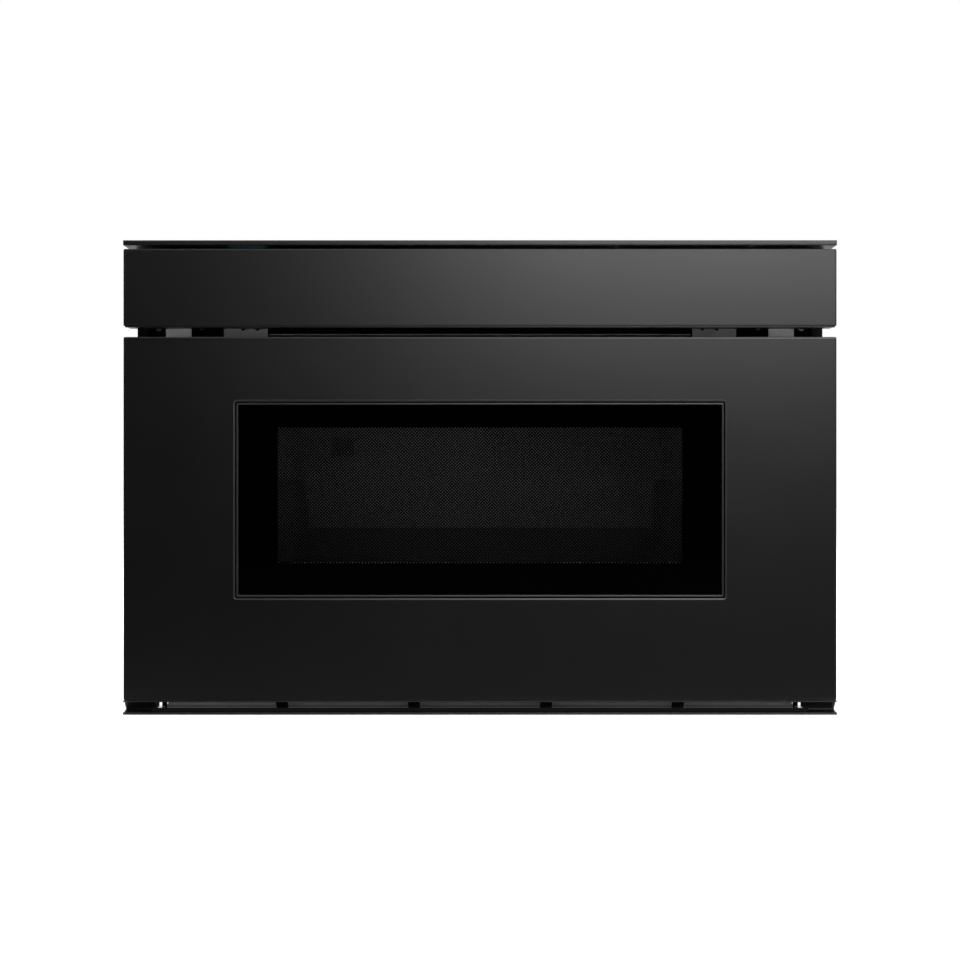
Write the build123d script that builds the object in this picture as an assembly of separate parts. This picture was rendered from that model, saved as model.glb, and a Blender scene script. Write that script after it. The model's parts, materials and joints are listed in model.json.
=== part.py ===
"""A 24-inch built-in microwave drawer, as separate pieces in one frame.

Millimetres. X runs to the right, Y from the front to the back, and Z up. The origin is on the
floor under the middle of the whole object. On the front, depths are measured back from the face
of the drawer front, which is at y = FACE.
"""
from build123d import *
import math
import os

# Overall size
WIDTH = 606.4
DEPTH = 593.7
HEIGHT = 403.2
TRIM_PROUD = 0.6                    # the window trim stands this far in front of the drawer front
PROUD = -TRIM_PROUD                 # depth of the foremost faces
FACE = TRIM_PROUD - DEPTH / 2
BACK = DEPTH / 2                    # the gland's outer end
FLANGE_DEPTH = 40.0                 # the front frame's face, behind the drawer front
FLANGE = FACE + FLANGE_DEPTH

# Sheet metal
THIN = 0.8
SHEET = 1.0
THICK = 1.5

# Case behind the front frame
CASE_HALF = 281.0
CASE_LOW = 14.0
CASE_HIGH = 388.0
CASE_BACK = BACK - 8.0              # the back panel's outer face
CASE_FRONT = FLANGE + THICK
FRAME_HALF = 302.5
FRAME_LOW = 12.5
FRAME_HIGH = 402.0

# Drawer front
DOOR_HALF = 302.95
DOOR_LOW = 12.2
DOOR_HIGH = 321.0
DOOR_RETURN = 20.0                  # depth of the skin's folded edges
CORNER = 1.5
EDGE = 0.5                          # rounding of folded edges
WINDOW = (205.3, 101.7, 263.0)      # half width, low and high edge
TRIM_WIDTH = 4.5
TRIM_CORNER = 2.8
TRIM_NECK = 2.2
GROOVE = (1.5, 3.1)                 # from the window's edge to the groove's two sides
GROOVE_FLOOR = 0.2                  # the groove's floor stands this far in front of the door
GLASS = 4.0
GLASS_DEPTH = 3.0

# Cavity
MOUTH_HALF = 220.0
MOUTH_LOW = 84.0
MOUTH_HIGH = 277.6
CAVITY_DEPTH = 421.0
CAVITY_BACK = FLANGE + CAVITY_DEPTH
STIRRER_Y = -45.0

# Tray that slides in the cavity
TRAY_HALF = 212.0
TRAY_LOW = 86.0
TRAY_SIDE_HIGH = 200.0
TRAY_BACK_HIGH = 141.0
TRAY_BACK = CAVITY_BACK - 9.0
TRAY_CORNER = 52.0                  # radius of the side walls' rear top corners
SUPPORTS_X = (-150.0, -50.0, 50.0, 150.0)
SHELF_HIGH = 95.0
SHELF = 5.0
SHELF_RIM = (8.0, 1.2)              # width and height of the shelf's rim
SHELF_CORNER = 10.0

# Choke frame on the back of the drawer front, round the cavity's mouth
CHOKE_FACE = 38.5
CHOKE_GAP = 26.0
CHOKE_LID = 1.5                     # from the choke's face to its outer wall, where the cover lies
CHOKE_INNER = (MOUTH_HALF + 2, MOUTH_LOW - 2, MOUTH_HIGH + 2)

# Runners
RAIL_Z = 142.0
RAIL_FRONT = FLANGE + 7.0
RAIL_LENGTH = 400.0
TRAVEL = 381.0

# Rack and pinion drive
MODULE = 2.0
PINION_TEETH = 16
PINION_Y = FLANGE + 25.0
SHAFT_Z = 70.0
PRESSURE_ANGLE = math.radians(20)
BACKLASH = 0.5
SHAFT_R = 5.0

# Control panel
PANEL_HALF = 303.0
PANEL_LOW = 330.0
PANEL_HIGH = 395.8
PANEL_EDGE = 17.0                   # depth of the skin's folded edges
PIVOT_DEPTH = 7.0
PIVOT_Z = 336.0
PIN_R = 3.0
PIN_HEAD = (4.5, 1.2)               # radius and thickness
HOUSING_HALF = 286.0
ARM_X = 290.0
GLASS_FRONT = (3.2, 394.4)          # depth and height of the touch glass's upper front edge
GLASS_REAR = (36.0, 390.0)

# Cooling fan and its place behind the back panel's grille
FAN_X = -150.0
FAN_Z = 240.0
FAN_R = 56.0

# Screws
SHANK_R = 1.75
SHANK = 7.0
HEAD_R = 3.7
HEAD = 2.2

# Running clearance round shafts and between sliding faces
RUNNING = 0.05

ON_BASE = (Align.CENTER, Align.CENTER, Align.MIN)


# Shapes that several pieces use

def block(x0, x1, y0, y1, z0, z1):
    """A box between two opposite corners."""
    middle = Pos((x0 + x1) / 2, (y0 + y1) / 2, (z0 + z1) / 2)
    return middle * Box(x1 - x0, y1 - y0, z1 - z0)


def front(x0, x1, depth0, depth1, z0, z1):
    """A box placed by its depth behind the drawer front's face."""
    return block(x0, x1, FACE + depth0, FACE + depth1, z0, z1)


def panel(half, depth0, depth1, z0, z1):
    """A box across the middle, placed by its depth behind the drawer front's face."""
    return front(-half, half, depth0, depth1, z0, z1)


def outlined(outline, depth0, depth1):
    """A box across the middle with an outline (half width, low, high)."""
    return panel(outline[0], depth0, depth1, *outline[1:])


def ring(outer, inner, depth0, depth1):
    """A rectangular frame between two outlines (half width, low, high)."""
    return outlined(outer, depth0, depth1) - outlined(inner, depth0, depth1)


def grown(outline, by):
    """A rectangular outline (half width, low, high), larger by the same amount all round."""
    half, low, high = outline
    return half + by, low - by, high + by


def bar(points, x0, x1):
    """A section drawn in (depth, height), pulled from x0 to x1."""
    outline = Polyline(*[(FACE + depth, z) for depth, z in points], close=True)
    side = Plane(origin=(x0, 0, 0), x_dir=(0, 1, 0), z_dir=(1, 0, 0))
    return extrude(side * make_face(outline), amount=x1 - x0)


def rod(start, direction, radius, length):
    """A round bar from a point, along a direction."""
    return Plane(origin=start, z_dir=direction) * Cylinder(radius, length, align=ON_BASE)


def both(right):
    """A piece on the right with its mirror image on the left, as separate solids."""
    return Compound([*right.solids(), *mirror(right, about=Plane.YZ).solids()])


def group(pieces):
    """Separate solids that share one node."""
    return Compound([solid for piece in pieces for solid in piece.solids()])


def mirrored(points):
    """Points (x, y, z) with their mirror images in x."""
    return [(side * x, y, z) for x, y, z in points for side in (-1, 1)]


def screw(seat, toward):
    """A pan-head screw: its head stands on the seat and faces the given way."""
    place = Plane(origin=seat, z_dir=toward)
    head = Cylinder(HEAD_R, HEAD, align=ON_BASE)
    head = fillet(head.edges().sort_by(Axis.Z)[-1], HEAD / 2)
    shank = Cylinder(SHANK_R, SHANK, align=(Align.CENTER, Align.CENTER, Align.MAX))
    slot = Pos(0, 0, HEAD) * Box(HEAD_R, HEAD / 3, HEAD)
    return place * (head + shank - slot - Rot(0, 0, 90) * slot)


def screw_holes(seats, toward):
    """Clearance holes for screws with these seats."""
    radius = SHANK_R + RUNNING
    return [Plane(origin=seat, z_dir=toward) * Cylinder(radius, 2 * SHANK + 1) for seat in seats]


def rounded_box(half, depth0, depth1, z0, z1, radius):
    """A box across the middle whose four corners, seen from the front, are rounded."""
    body = panel(half, depth0, depth1, z0, z1)
    return fillet(body.edges().filter_by(Axis.Y), radius)


# Where the screws sit, for the sheets and the screws alike

FORWARD = (0, -1, 0)
REARWARD = (0, 1, 0)
OUTWARD = (1, 0, 0)
UPWARD = (0, 0, 1)

ARM_FOOT_X = 283.0
BUMPER_X = 266.0
CATCH_SCREW_X = (196.8, 208.3)
FITTING_SCREW_Z = 334.5
CLIP_SCREW_X = 245.5
FOOT = 1.5                          # thickness of the feet that are screwed to the front frame
PLATE = 1.2

FRAME_SCREWS = mirrored(
    [(ARM_FOOT_X, FLANGE - FOOT, FITTING_SCREW_Z)]
    + [(x, FLANGE - PLATE, FITTING_SCREW_Z) for x in CATCH_SCREW_X]
    + [(BUMPER_X, FLANGE - PLATE, 340.0)]
    + [(CLIP_SCREW_X, FLANGE, FITTING_SCREW_Z + 1)]
    + [(120.0, FLANGE - PLATE, 393.0), (240.0, FLANGE - PLATE, 393.0)]
    + [(120.0, FLANGE - PLATE, 19.0), (240.0, FLANGE - PLATE, 19.0)]
)
BACK_SCREWS = mirrored([(274.0, CASE_BACK, z) for z in (40.0, 200.0, 370.0)])
TOP_SCREWS = mirrored([(274.0, y, CASE_HIGH) for y in (-220.0, 20.0, 260.0)])
SIDE_SCREWS = [(CASE_HALF, y, 22.0) for y in (-220.0, 20.0, 260.0)]
BRACKET_SCREWS = [(271.0, FACE + DOOR_RETURN + 2, z) for z in (108.0, 124.0, 150.0)]
CHOKE_SCREWS = mirrored(
    [(252.0, FACE + DOOR_RETURN + PLATE, z) for z in (70.0, 180.0, 290.0)]
    + [(x, FACE + DOOR_RETURN + PLATE, z) for x in (80.0, 200.0) for z in (52.0, 309.5)]
)


# Case

PAN_TOP = CASE_LOW + PLATE
PAN_EDGE_HIGH = 30.0
PAN_SLOT = (50.0, 5.0)
PAN_SLOTS_X = (-225.0, -155.0, -85.0, 35.0, 105.0, 175.0)
PAN_SLOTS_Y = (-170.0, -155.0, -140.0, 190.0, 205.0, 220.0)


def base_pan():
    """The floor of the case, with turned-up sides and rows of air slots."""
    inner = CASE_HALF - SHEET
    floor = block(-inner, inner, CASE_FRONT, CASE_BACK - SHEET, CASE_LOW, PAN_TOP)
    edge = block(inner - PLATE, inner, CASE_FRONT, CASE_BACK - SHEET, CASE_LOW, PAN_EDGE_HIGH)
    pan = floor + edge + mirror(edge, about=Plane.YZ)
    slots = [
        block(x, x + PAN_SLOT[0], y, y + PAN_SLOT[1], CASE_LOW - 1, PAN_TOP + 1)
        for x in PAN_SLOTS_X for y in PAN_SLOTS_Y
    ]
    holes = screw_holes(SIDE_SCREWS, OUTWARD)
    return pan - slots - holes - [mirror(hole, about=Plane.YZ) for hole in holes]


FOLD = 12.0                         # width of the sides' folds, which carry the top and the back
LUG = (7.0, 30.0, 380.0)            # width, low and high end of the lug behind the front frame
LOUVRE_Y = (190.0, 250.0)
LOUVRES_Z = range(210, 330, 12)
LOUVRE = 4.0


def side_panels():
    """The two sides, each folded in at the top and the back, and out at the front."""
    inner = CASE_HALF - SHEET
    wall = block(inner, CASE_HALF, CASE_FRONT, CASE_BACK - SHEET, CASE_LOW, CASE_HIGH - SHEET)
    top = block(inner - FOLD, inner, CASE_FRONT, CASE_BACK - SHEET,
                CASE_HIGH - 2 * SHEET, CASE_HIGH - SHEET)
    rear = block(inner - FOLD, inner, CASE_BACK - 2 * SHEET, CASE_BACK - SHEET,
                 PAN_EDGE_HIGH + 2, CASE_HIGH - 2 * SHEET)
    lug = block(CASE_HALF, CASE_HALF + LUG[0], CASE_FRONT, CASE_FRONT + SHEET, *LUG[1:])
    louvres = [block(inner - 1, CASE_HALF + 1, *LOUVRE_Y, z, z + LOUVRE) for z in LOUVRES_Z]
    side = wall + top + rear + lug - louvres - screw_holes(SIDE_SCREWS, OUTWARD)
    side -= screw_holes([seat for seat in FRAME_SCREWS if seat[0] == ARM_FOOT_X], FORWARD)
    side -= screw_holes([seat for seat in TOP_SCREWS if seat[0] > 0], UPWARD)
    side -= screw_holes([seat for seat in BACK_SCREWS if seat[0] > 0], REARWARD)
    return both(side)


RIBS_Y = (-90.0, 140.0)
RIB_SIZE = (230.0, 14.0)            # half length and width


def top_cover():
    """The lid of the case, with two long ribs pressed up to stiffen it."""
    lid = block(-CASE_HALF, CASE_HALF, CASE_FRONT, CASE_BACK, CASE_HIGH - SHEET, CASE_HIGH)
    half, width = RIB_SIZE
    for y in RIBS_Y:
        lid += block(-half, half, y, y + width, CASE_HIGH, CASE_HIGH + THICK)
        lid -= block(THICK - half, half - THICK, y + THICK, y + width - THICK,
                     CASE_HIGH - SHEET, CASE_HIGH + THICK - SHEET)
    return lid - screw_holes(TOP_SCREWS, UPWARD)


GLAND_X = 248.0
GLAND_Z = 60.0
GLAND_R = 10.0
GRILLE_PITCH = 8.0
GRILLE_BORDER = 6.0                 # from the grille's edge to the fan's
OUTLETS_X = range(60, 200, 12)
OUTLET = (5.0, 40.0, 80.0)          # width, low and high end of an outlet slot


def grille_slots():
    """Level slots that fill a circle in front of the fan."""
    radius = FAN_R - GRILLE_BORDER
    rows = int(radius / GRILLE_PITCH)
    slots = []
    for row in range(-rows, rows + 1):
        off = row * GRILLE_PITCH
        half = math.sqrt(radius ** 2 - off ** 2)
        slots.append(block(FAN_X - half, FAN_X + half, CASE_BACK - 2 * SHEET, CASE_BACK + 1,
                           FAN_Z + off - GRILLE_PITCH / 4, FAN_Z + off + GRILLE_PITCH / 4))
    return slots


def back_panel():
    """The back of the case, with the fan's grille, an outlet grille and the gland's hole."""
    sheet = block(-CASE_HALF, CASE_HALF, CASE_BACK - SHEET, CASE_BACK, CASE_LOW, CASE_HIGH - SHEET)
    sheet -= grille_slots()
    sheet -= [block(x, x + OUTLET[0], CASE_BACK - 2 * SHEET, CASE_BACK + 1, *OUTLET[1:])
              for x in OUTLETS_X]
    sheet -= rod((GLAND_X, CASE_BACK - 2 * SHEET, GLAND_Z), REARWARD, GLAND_R, 3 * SHEET)
    return sheet - screw_holes(BACK_SCREWS, REARWARD)


MOUNT_X = 295.5
MOUNT_Z = (45.0, 300.0)
MOUNT_R = 2.25
RUNNER_SLOT = (253.0, 279.5, 82.0, 166.0)       # x and z range of the hole for rail and rack
LATCH_SLOT = (258.0, 270.0, 226.0, 254.0)       # x and z range of the hole for the latch finger
PLUNGER_Z = 370.0
PLUNGER_R = 4.0


def front_frame():
    """The flat frame that closes the cabinet's cut-out and carries everything in front."""
    plate = panel(FRAME_HALF, FLANGE_DEPTH, FLANGE_DEPTH + THICK, FRAME_LOW, FRAME_HIGH)
    plate = fillet(plate.edges().filter_by(Axis.Y), CORNER)
    through = (FLANGE_DEPTH - 1, FLANGE_DEPTH + THICK + 1)
    plate -= panel(MOUTH_HALF, *through, MOUTH_LOW, MOUTH_HIGH)
    for x0, x1, z0, z1 in (RUNNER_SLOT, LATCH_SLOT):
        opening = front(x0, x1, *through, z0, z1)
        plate -= opening
        plate -= mirror(opening, about=Plane.YZ)
    plate -= rod((0, FLANGE - 1, PLUNGER_Z), REARWARD, PLUNGER_R + 1, THICK + 2)
    plate -= [rod((x, FLANGE - 1, z), REARWARD, MOUNT_R, THICK + 2)
              for x in (-MOUNT_X, MOUNT_X) for z in MOUNT_Z]
    return plate - screw_holes(FRAME_SCREWS, FORWARD)


VISOR_LOW = 398.9
VISOR_RETURN = 18.0                 # depth of the fold under the visor's front edge
TRIM_FEET = (26.0, 386.0)           # how far the trims' feet reach over the front frame


def top_trim():
    """The visor over the control panel: a folded sheet with a foot on the front frame."""
    back = FLANGE_DEPTH + THICK
    foot = FLANGE_DEPTH - PLATE
    section = [
        (0, VISOR_LOW), (0, HEIGHT), (back, HEIGHT), (back, FRAME_HIGH), (FLANGE_DEPTH, FRAME_HIGH),
        (FLANGE_DEPTH, TRIM_FEET[1]), (foot, TRIM_FEET[1]), (foot, FRAME_HIGH), (PLATE, FRAME_HIGH),
        (PLATE, VISOR_LOW + PLATE), (VISOR_RETURN, VISOR_LOW + PLATE), (VISOR_RETURN, VISOR_LOW),
    ]
    visor = bar(section, -WIDTH / 2, WIDTH / 2)
    visor = fillet(visor.edges().filter_by(Axis.X).group_by(Axis.Y)[0].sort_by(Axis.Z)[-1], EDGE)
    return visor - screw_holes([seat for seat in FRAME_SCREWS if seat[2] > 390], FORWARD)


RIB = 10.0                          # between two air slots
RIBS_X = (-169.0, -56.4, 56.4, 169.0)
SLOT_END = 277.0
SLOT_Z = (3.8, 9.9)
LEDGE = (11.0, 11.9)                # low and high face of the trim's ledge
TAB_X = (272.6, 277.0)              # the tabs beside the ends of the baffle
TAB_DEPTH = 26.0
TAB_LOW = 2.5
GUSSET_DEPTH = (6.0, 17.6)


def bottom_trim():
    """The air trim under the drawer front: a ledge over a slotted wall that curves into a lip."""
    foot = FLANGE_DEPTH - PLATE
    ledge = [
        (PROUD, LEDGE[0]), (PROUD, LEDGE[1]), (foot, LEDGE[1]), (foot, TRIM_FEET[0]),
        (FLANGE_DEPTH, TRIM_FEET[0]), (FLANGE_DEPTH, LEDGE[0]),
    ]
    wall = [
        (PROUD, 0), (PROUD, 1.7), (4.0, 2.2), (6.5, 2.6), (8.2, 3.7), (4.7, 8.8), (2.4, 11.1),
        (3.8, 11.1), (5.9, 9.2), (9.5, 3.8), (9.5, 3.2), (7.2, 1.5), (1.0, 0.8), (1.0, 0),
    ]
    trim = bar(ledge, -WIDTH / 2, WIDTH / 2) + bar(wall, -WIDTH / 2, WIDTH / 2)
    starts = [-SLOT_END] + [x + RIB / 2 for x in RIBS_X]
    ends = [x - RIB / 2 for x in RIBS_X] + [SLOT_END]
    trim -= [front(x0, x1, 0, FLANGE_DEPTH / 2, *SLOT_Z) for x0, x1 in zip(starts, ends)]
    gusset = front(SLOT_END, SLOT_END + PLATE, *GUSSET_DEPTH, SLOT_Z[0], LEDGE[0])
    tab = front(*TAB_X, TAB_DEPTH, TAB_DEPTH + PLATE, TAB_LOW, LEDGE[0])
    for piece in (gusset, tab):
        trim += piece
        trim += mirror(piece, about=Plane.YZ)
    return trim - screw_holes([seat for seat in FRAME_SCREWS if seat[2] < TRIM_FEET[0]], FORWARD)


BAFFLE_HALF = 272.4


def air_baffle():
    """The folded sheet behind the air trim, which slopes up from the floor to the base pan."""
    section = [
        (24.0, 0.8), (36.5, 9.0), (43.5, 9.0), (47.5, 13.0), (118.0, 13.0), (118.0, CASE_LOW),
        (47.1, CASE_LOW), (43.1, 10.0), (36.2, 10.0), (24.0, 2.0),
    ]
    return bar(section, -BAFFLE_HALF, BAFFLE_HALF)


FEET_X = 250.0
FEET_Y = (-120.0, 250.0)
FOOT_R = 13.0
FOOT_NECK_R = 9.0
FOOT_SOLE = 10.0                    # height of the wide part


def feet():
    """Four rubber feet under the base pan."""
    sole = Cylinder(FOOT_R, FOOT_SOLE, align=ON_BASE)
    sole = fillet(sole.edges().sort_by(Axis.Z)[0], 2.0)
    neck = Cylinder(FOOT_NECK_R, CASE_LOW - FOOT_SOLE, align=ON_BASE)
    foot = sole + Pos(0, 0, FOOT_SOLE) * neck
    return group(Pos(x, y, 0) * foot for x in (-FEET_X, FEET_X) for y in FEET_Y)


# Cavity and its microwave feed

DOME_R = 85.0
DOME_HIGH = 300.0
CEILING = MOUTH_HIGH + THIN
FLANGE_WIDTH = 12.0                 # of the cavity's flange behind the front frame
STIRRER_SHAFT_R = 3.0


def cavity_shell():
    """The welded cavity: four walls, a flange behind the front frame and the stirrer's dome."""
    mouth = (MOUTH_HALF, MOUTH_LOW, MOUTH_HIGH)
    deep = (FLANGE_DEPTH + THICK, FLANGE_DEPTH + CAVITY_DEPTH)
    shell = ring(grown(mouth, THIN), mouth, *deep)
    shell += ring(grown(mouth, FLANGE_WIDTH), mouth, deep[0], deep[0] + THIN)
    floor_to_roof = DOME_HIGH - MOUTH_HIGH
    dome = Pos(0, STIRRER_Y, MOUTH_HIGH) * Cylinder(DOME_R + THIN, floor_to_roof, align=ON_BASE)
    space = Pos(0, STIRRER_Y, MOUTH_HIGH) * Cylinder(DOME_R, floor_to_roof - THIN, align=ON_BASE)
    shell += dome
    shell -= space
    return shell - rod((0, STIRRER_Y, MOUTH_HIGH), UPWARD, STIRRER_SHAFT_R + 1, 2 * floor_to_roof)


VENT_PITCH = 9.0
VENT_R = 2.8
VENTS = (22, 6)                     # columns and rows
VENT_START = (12.0, 214.0)          # x and z of the first
LAMP_X = -170.0
LAMP_Z = 240.0
LAMP_WINDOW = (14.0, 12.0)          # half width and half height


def cavity_back():
    """The cavity's back wall, with the outlet holes in its upper right part and the lamp's window."""
    wall = panel(MOUTH_HALF + FLANGE_WIDTH - 2, FLANGE_DEPTH + CAVITY_DEPTH,
                 FLANGE_DEPTH + CAVITY_DEPTH + THIN, MOUTH_LOW - FLANGE_WIDTH + 2, CEILING)
    wall -= [
        rod((VENT_START[0] + column * VENT_PITCH, CAVITY_BACK - 1, VENT_START[1] + row * VENT_PITCH),
            REARWARD, VENT_R, THIN + 2)
        for column in range(VENTS[0]) for row in range(VENTS[1])
    ]
    half, high = LAMP_WINDOW
    return wall - block(LAMP_X - half, LAMP_X + half, CAVITY_BACK - 1, CAVITY_BACK + THIN + 1,
                        LAMP_Z - high, LAMP_Z + high)


COVER = 1.5                         # thickness of the stirrer's cover


def stirrer_cover():
    """The flat cover under the stirrer, against the cavity's ceiling."""
    return Pos(0, STIRRER_Y, MOUTH_HIGH - COVER) * Cylinder(DOME_R + 6, COVER, align=ON_BASE)


HUB_R = 8.0
HUB_LOW = 285.0
BLADE = (72.0, 30.0)                # length and width
BLADE_TILT = 12.0


def stirrer_blade():
    """Three tilted blades on a hub, with the shaft that goes up into the motor."""
    hub = Pos(0, 0, HUB_LOW) * Cylinder(HUB_R, HUB_R, align=ON_BASE)
    middle = Pos(BLADE[0] / 2 + HUB_R / 2, 0, HUB_LOW + 3)
    blade = middle * Rot(BLADE_TILT, 0, 0) * Box(*BLADE, THIN)
    spinner = hub + [Rot(0, 0, turn) * blade for turn in (0, 120, 240)]
    spinner += rod((0, 0, HUB_LOW + 5), UPWARD, STIRRER_SHAFT_R, 26.0)
    return Pos(0, STIRRER_Y, 0) * spinner


STIRRER_CAN = (24.0, 20.0)          # radius and height
STIRRER_EAR = (34.0, 7.0)           # half length and half width of the motor's ears


def stirrer_motor():
    """The small flat motor on the dome, with its ears and its socket."""
    radius, height = STIRRER_CAN
    can = rod((0, 0, DOME_HIGH), UPWARD, radius, height)
    can = fillet(can.edges().sort_by(Axis.Z)[-1], 2.0)
    ear, wide = STIRRER_EAR
    can += block(-ear, ear, -wide, wide, DOME_HIGH, DOME_HIGH + SHEET)
    can += block(-HUB_R, HUB_R, radius - 2, radius + HUB_R, DOME_HIGH + 3, DOME_HIGH + 15)
    can -= rod((0, 0, DOME_HIGH), UPWARD, STIRRER_SHAFT_R + RUNNING, height - 3.5)
    return Pos(0, STIRRER_Y, 0) * can


MAGNETRON_Y = 232.0
GUIDE_HALF = 45.0
GUIDE_LOW = CEILING
GUIDE_HIGH = GUIDE_LOW + 42.0
ANTENNA = (8.0, 26.0)               # radius and height


def waveguide():
    """The rectangular duct from the magnetron to the dome."""
    start = STIRRER_Y + DOME_R + 2
    end = MAGNETRON_Y + ANTENNA[1]
    duct = block(-GUIDE_HALF, GUIDE_HALF, start, end, GUIDE_LOW, GUIDE_HIGH)
    duct -= block(PLATE - GUIDE_HALF, GUIDE_HALF - PLATE, start - 1, end - PLATE,
                  GUIDE_LOW + PLATE, GUIDE_HIGH - PLATE)
    return duct - rod((0, MAGNETRON_Y, GUIDE_LOW - 1), UPWARD, ANTENNA[0] + 6, PLATE + 2)


YOKE = (46.0, 38.0, 88.0)           # half width, half depth and height
YOKE_WALL = 2.0
CORE_R = 20.0
FINS = 7
FIN_PITCH = 7.0
FILTER_BOX = (36.0, 32.0, 34.0)     # half width, half depth and height


def magnetron():
    """The magnetron: a finned core in a steel yoke, its antenna above and filter box below."""
    wide, deep, height = YOKE
    top = GUIDE_LOW
    low = top - height
    y0, y1 = MAGNETRON_Y - deep, MAGNETRON_Y + deep
    parts = block(-wide, wide, y0, y1, low, top)
    parts -= block(YOKE_WALL - wide, wide - YOKE_WALL, y0 - 1, y1 + 1, low + YOKE_WALL, top - YOKE_WALL)
    parts += rod((0, MAGNETRON_Y, low), UPWARD, CORE_R, height)
    for fin in range(FINS):
        z = low + (fin + 3) * FIN_PITCH
        parts += block(YOKE_WALL - wide, wide - YOKE_WALL, y0 + 4, y1 - 4, z, z + SHEET)
    parts += rod((0, MAGNETRON_Y, top), UPWARD, *ANTENNA)
    half, depth, high = FILTER_BOX
    return parts + block(-half, half, MAGNETRON_Y - depth, MAGNETRON_Y + depth, low - high, low)


LAMP_BOX = (20.0, 18.0, 24.0)       # half width, half height and depth
BULB_R = 7.0


def cavity_lamp():
    """The lamp's holder behind its window in the cavity's back wall."""
    rear = CAVITY_BACK + THIN
    half, high, depth = LAMP_BOX
    wall = YOKE_WALL
    holder = block(LAMP_X - half, LAMP_X + half, rear, rear + depth, LAMP_Z - high, LAMP_Z + high)
    holder -= block(LAMP_X - half + wall, LAMP_X + half - wall, rear - 1, rear + depth - wall,
                    LAMP_Z - high + wall, LAMP_Z + high - wall)
    bulb = rod((LAMP_X, rear + depth - wall, LAMP_Z), FORWARD, BULB_R, depth - 3 * wall)
    return holder + fillet(bulb.edges().sort_by(Axis.Y)[0], BULB_R - 2)


DUCT_X = (4.0, 218.0)
DUCT_Z = (190.0, 274.0)
DUCT_DEPTH = 26.0
DUCT_WALL = 2.0
CHUTE_X = 120.0
CHUTE_LOW = 40.0


def exhaust_duct():
    """The moulded duct that takes steam from the cavity's outlet holes down to the floor."""
    rear = CAVITY_BACK + THIN
    back = rear + DUCT_DEPTH
    wall = DUCT_WALL
    x0, x1 = DUCT_X
    z0, z1 = DUCT_Z
    duct = block(x0, x1, rear, back, z0, z1) + block(CHUTE_X, x1, rear, back, CHUTE_LOW, z0)
    inside = block(x0 + wall, x1 - wall, rear - 1, back - wall, z0 + wall, z1 - wall)
    bore = block(CHUTE_X + wall, x1 - wall, rear + wall, back - wall, CHUTE_LOW - 1, z0 + wall + 1)
    return duct - inside - bore


# Electrics and cooling

BOARD = 1.6                         # thickness of a circuit board
POST = 6.0                          # width of a board's standoffs
INVERTER_X = (-214.0, -64.0)
INVERTER_Y = (CAVITY_BACK + 14, CASE_BACK - 12)
INVERTER_TOP = PAN_TOP + 12 + BOARD
CORE = (50.0, 50.0, 44.0)           # the transformer's core: width, depth and height
WINDING = (38.0, 62.0, 30.0)        # its windings
SINK_X = 80.0                       # from the board's left edge
SINK = (4.0, 22.0, 40.0)            # plate thickness, fin length and height
SINK_FINS = 9
SINK_PITCH = 9.0
CAPACITOR = (8.0, 28.0)             # radius and height


def board_posts(x0, x1, y0, y1, z0, z1):
    """Four square standoffs at the corners of a board."""
    return [block(x, x + POST, y, y + POST, z0, z1) for x in (x0, x1 - POST) for y in (y0, y1 - POST)]


def inverter_board():
    """The power board on its tray: transformer, finned heat sink and capacitors."""
    x0, x1 = INVERTER_X
    y0, y1 = INVERTER_Y
    top = INVERTER_TOP
    board = block(x0, x1, y0, y1, PAN_TOP, PAN_TOP + SHEET)
    board += board_posts(x0 + 4, x1 - 4, y0 + 4, y1 - 4, PAN_TOP + SHEET, top - BOARD)
    board += block(x0 + 2, x1 - 2, y0 + 2, y1 - 2, top - BOARD, top)
    for size in (CORE, WINDING):
        board += Pos(x0 + 37, y0 + 37, top) * Box(*size, align=ON_BASE)
    plate, fin_length, high = SINK
    sink = x0 + SINK_X
    board += block(sink, sink + plate, y0 + 10, y1 - 10, top, top + high)
    for fin in range(SINK_FINS):
        y = y0 + 14 + fin * SINK_PITCH
        board += block(sink + plate, sink + plate + fin_length, y, y + 2, top + 4, top + high)
    for x in (x0 + 116, x0 + 134):
        board += rod((x, y0 + 24, top), UPWARD, *CAPACITOR)
    return board


FILTER_X = (226.0, 272.0)
FILTER_Y = (CAVITY_BACK + 30, CASE_BACK - 32)
FILTER_TOP = PAN_TOP + 10 + BOARD
COIL = (15.0, 7.0, 14.0)            # outer radius, inner radius and height


def noise_filter_board():
    """The mains filter beside the gland: a board on standoffs with a coil and a capacitor."""
    x0, x1 = FILTER_X
    y0, y1 = FILTER_Y
    top = FILTER_TOP
    board = block(x0, x1, y0, y1, top - BOARD, top)
    board += board_posts(x0, x1, y0, y1, PAN_TOP, top - BOARD)
    radius, hole, height = COIL
    seat = ((x0 + x1) / 2, y0 + radius + 5, top)
    board += rod(seat, UPWARD, radius, height)
    board -= Pos(0, 0, 4) * rod(seat, UPWARD, hole, height)
    return board + block(x0 + 8, x1 - 8, y1 - 28, y1 - 12, top, top + CAPACITOR[0] * 2)


CORD_R = 4.5
GLAND_LENGTH = 24.0
COLLAR = (15.0, 3.0)                # radius and thickness
NUT = (15.0, 5.0)


def power_gland():
    """The cord's gland in the back panel: a collar outside, a nut inside and a bore between."""
    start = BACK - GLAND_LENGTH
    body = rod((GLAND_X, start, GLAND_Z), REARWARD, GLAND_R, GLAND_LENGTH)
    body += rod((GLAND_X, CASE_BACK, GLAND_Z), REARWARD, *COLLAR)
    body += rod((GLAND_X, CASE_BACK - SHEET - NUT[1], GLAND_Z), REARWARD, *NUT)
    return body - rod((GLAND_X, start - 1, GLAND_Z), REARWARD, CORD_R, GLAND_LENGTH + 2)


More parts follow.
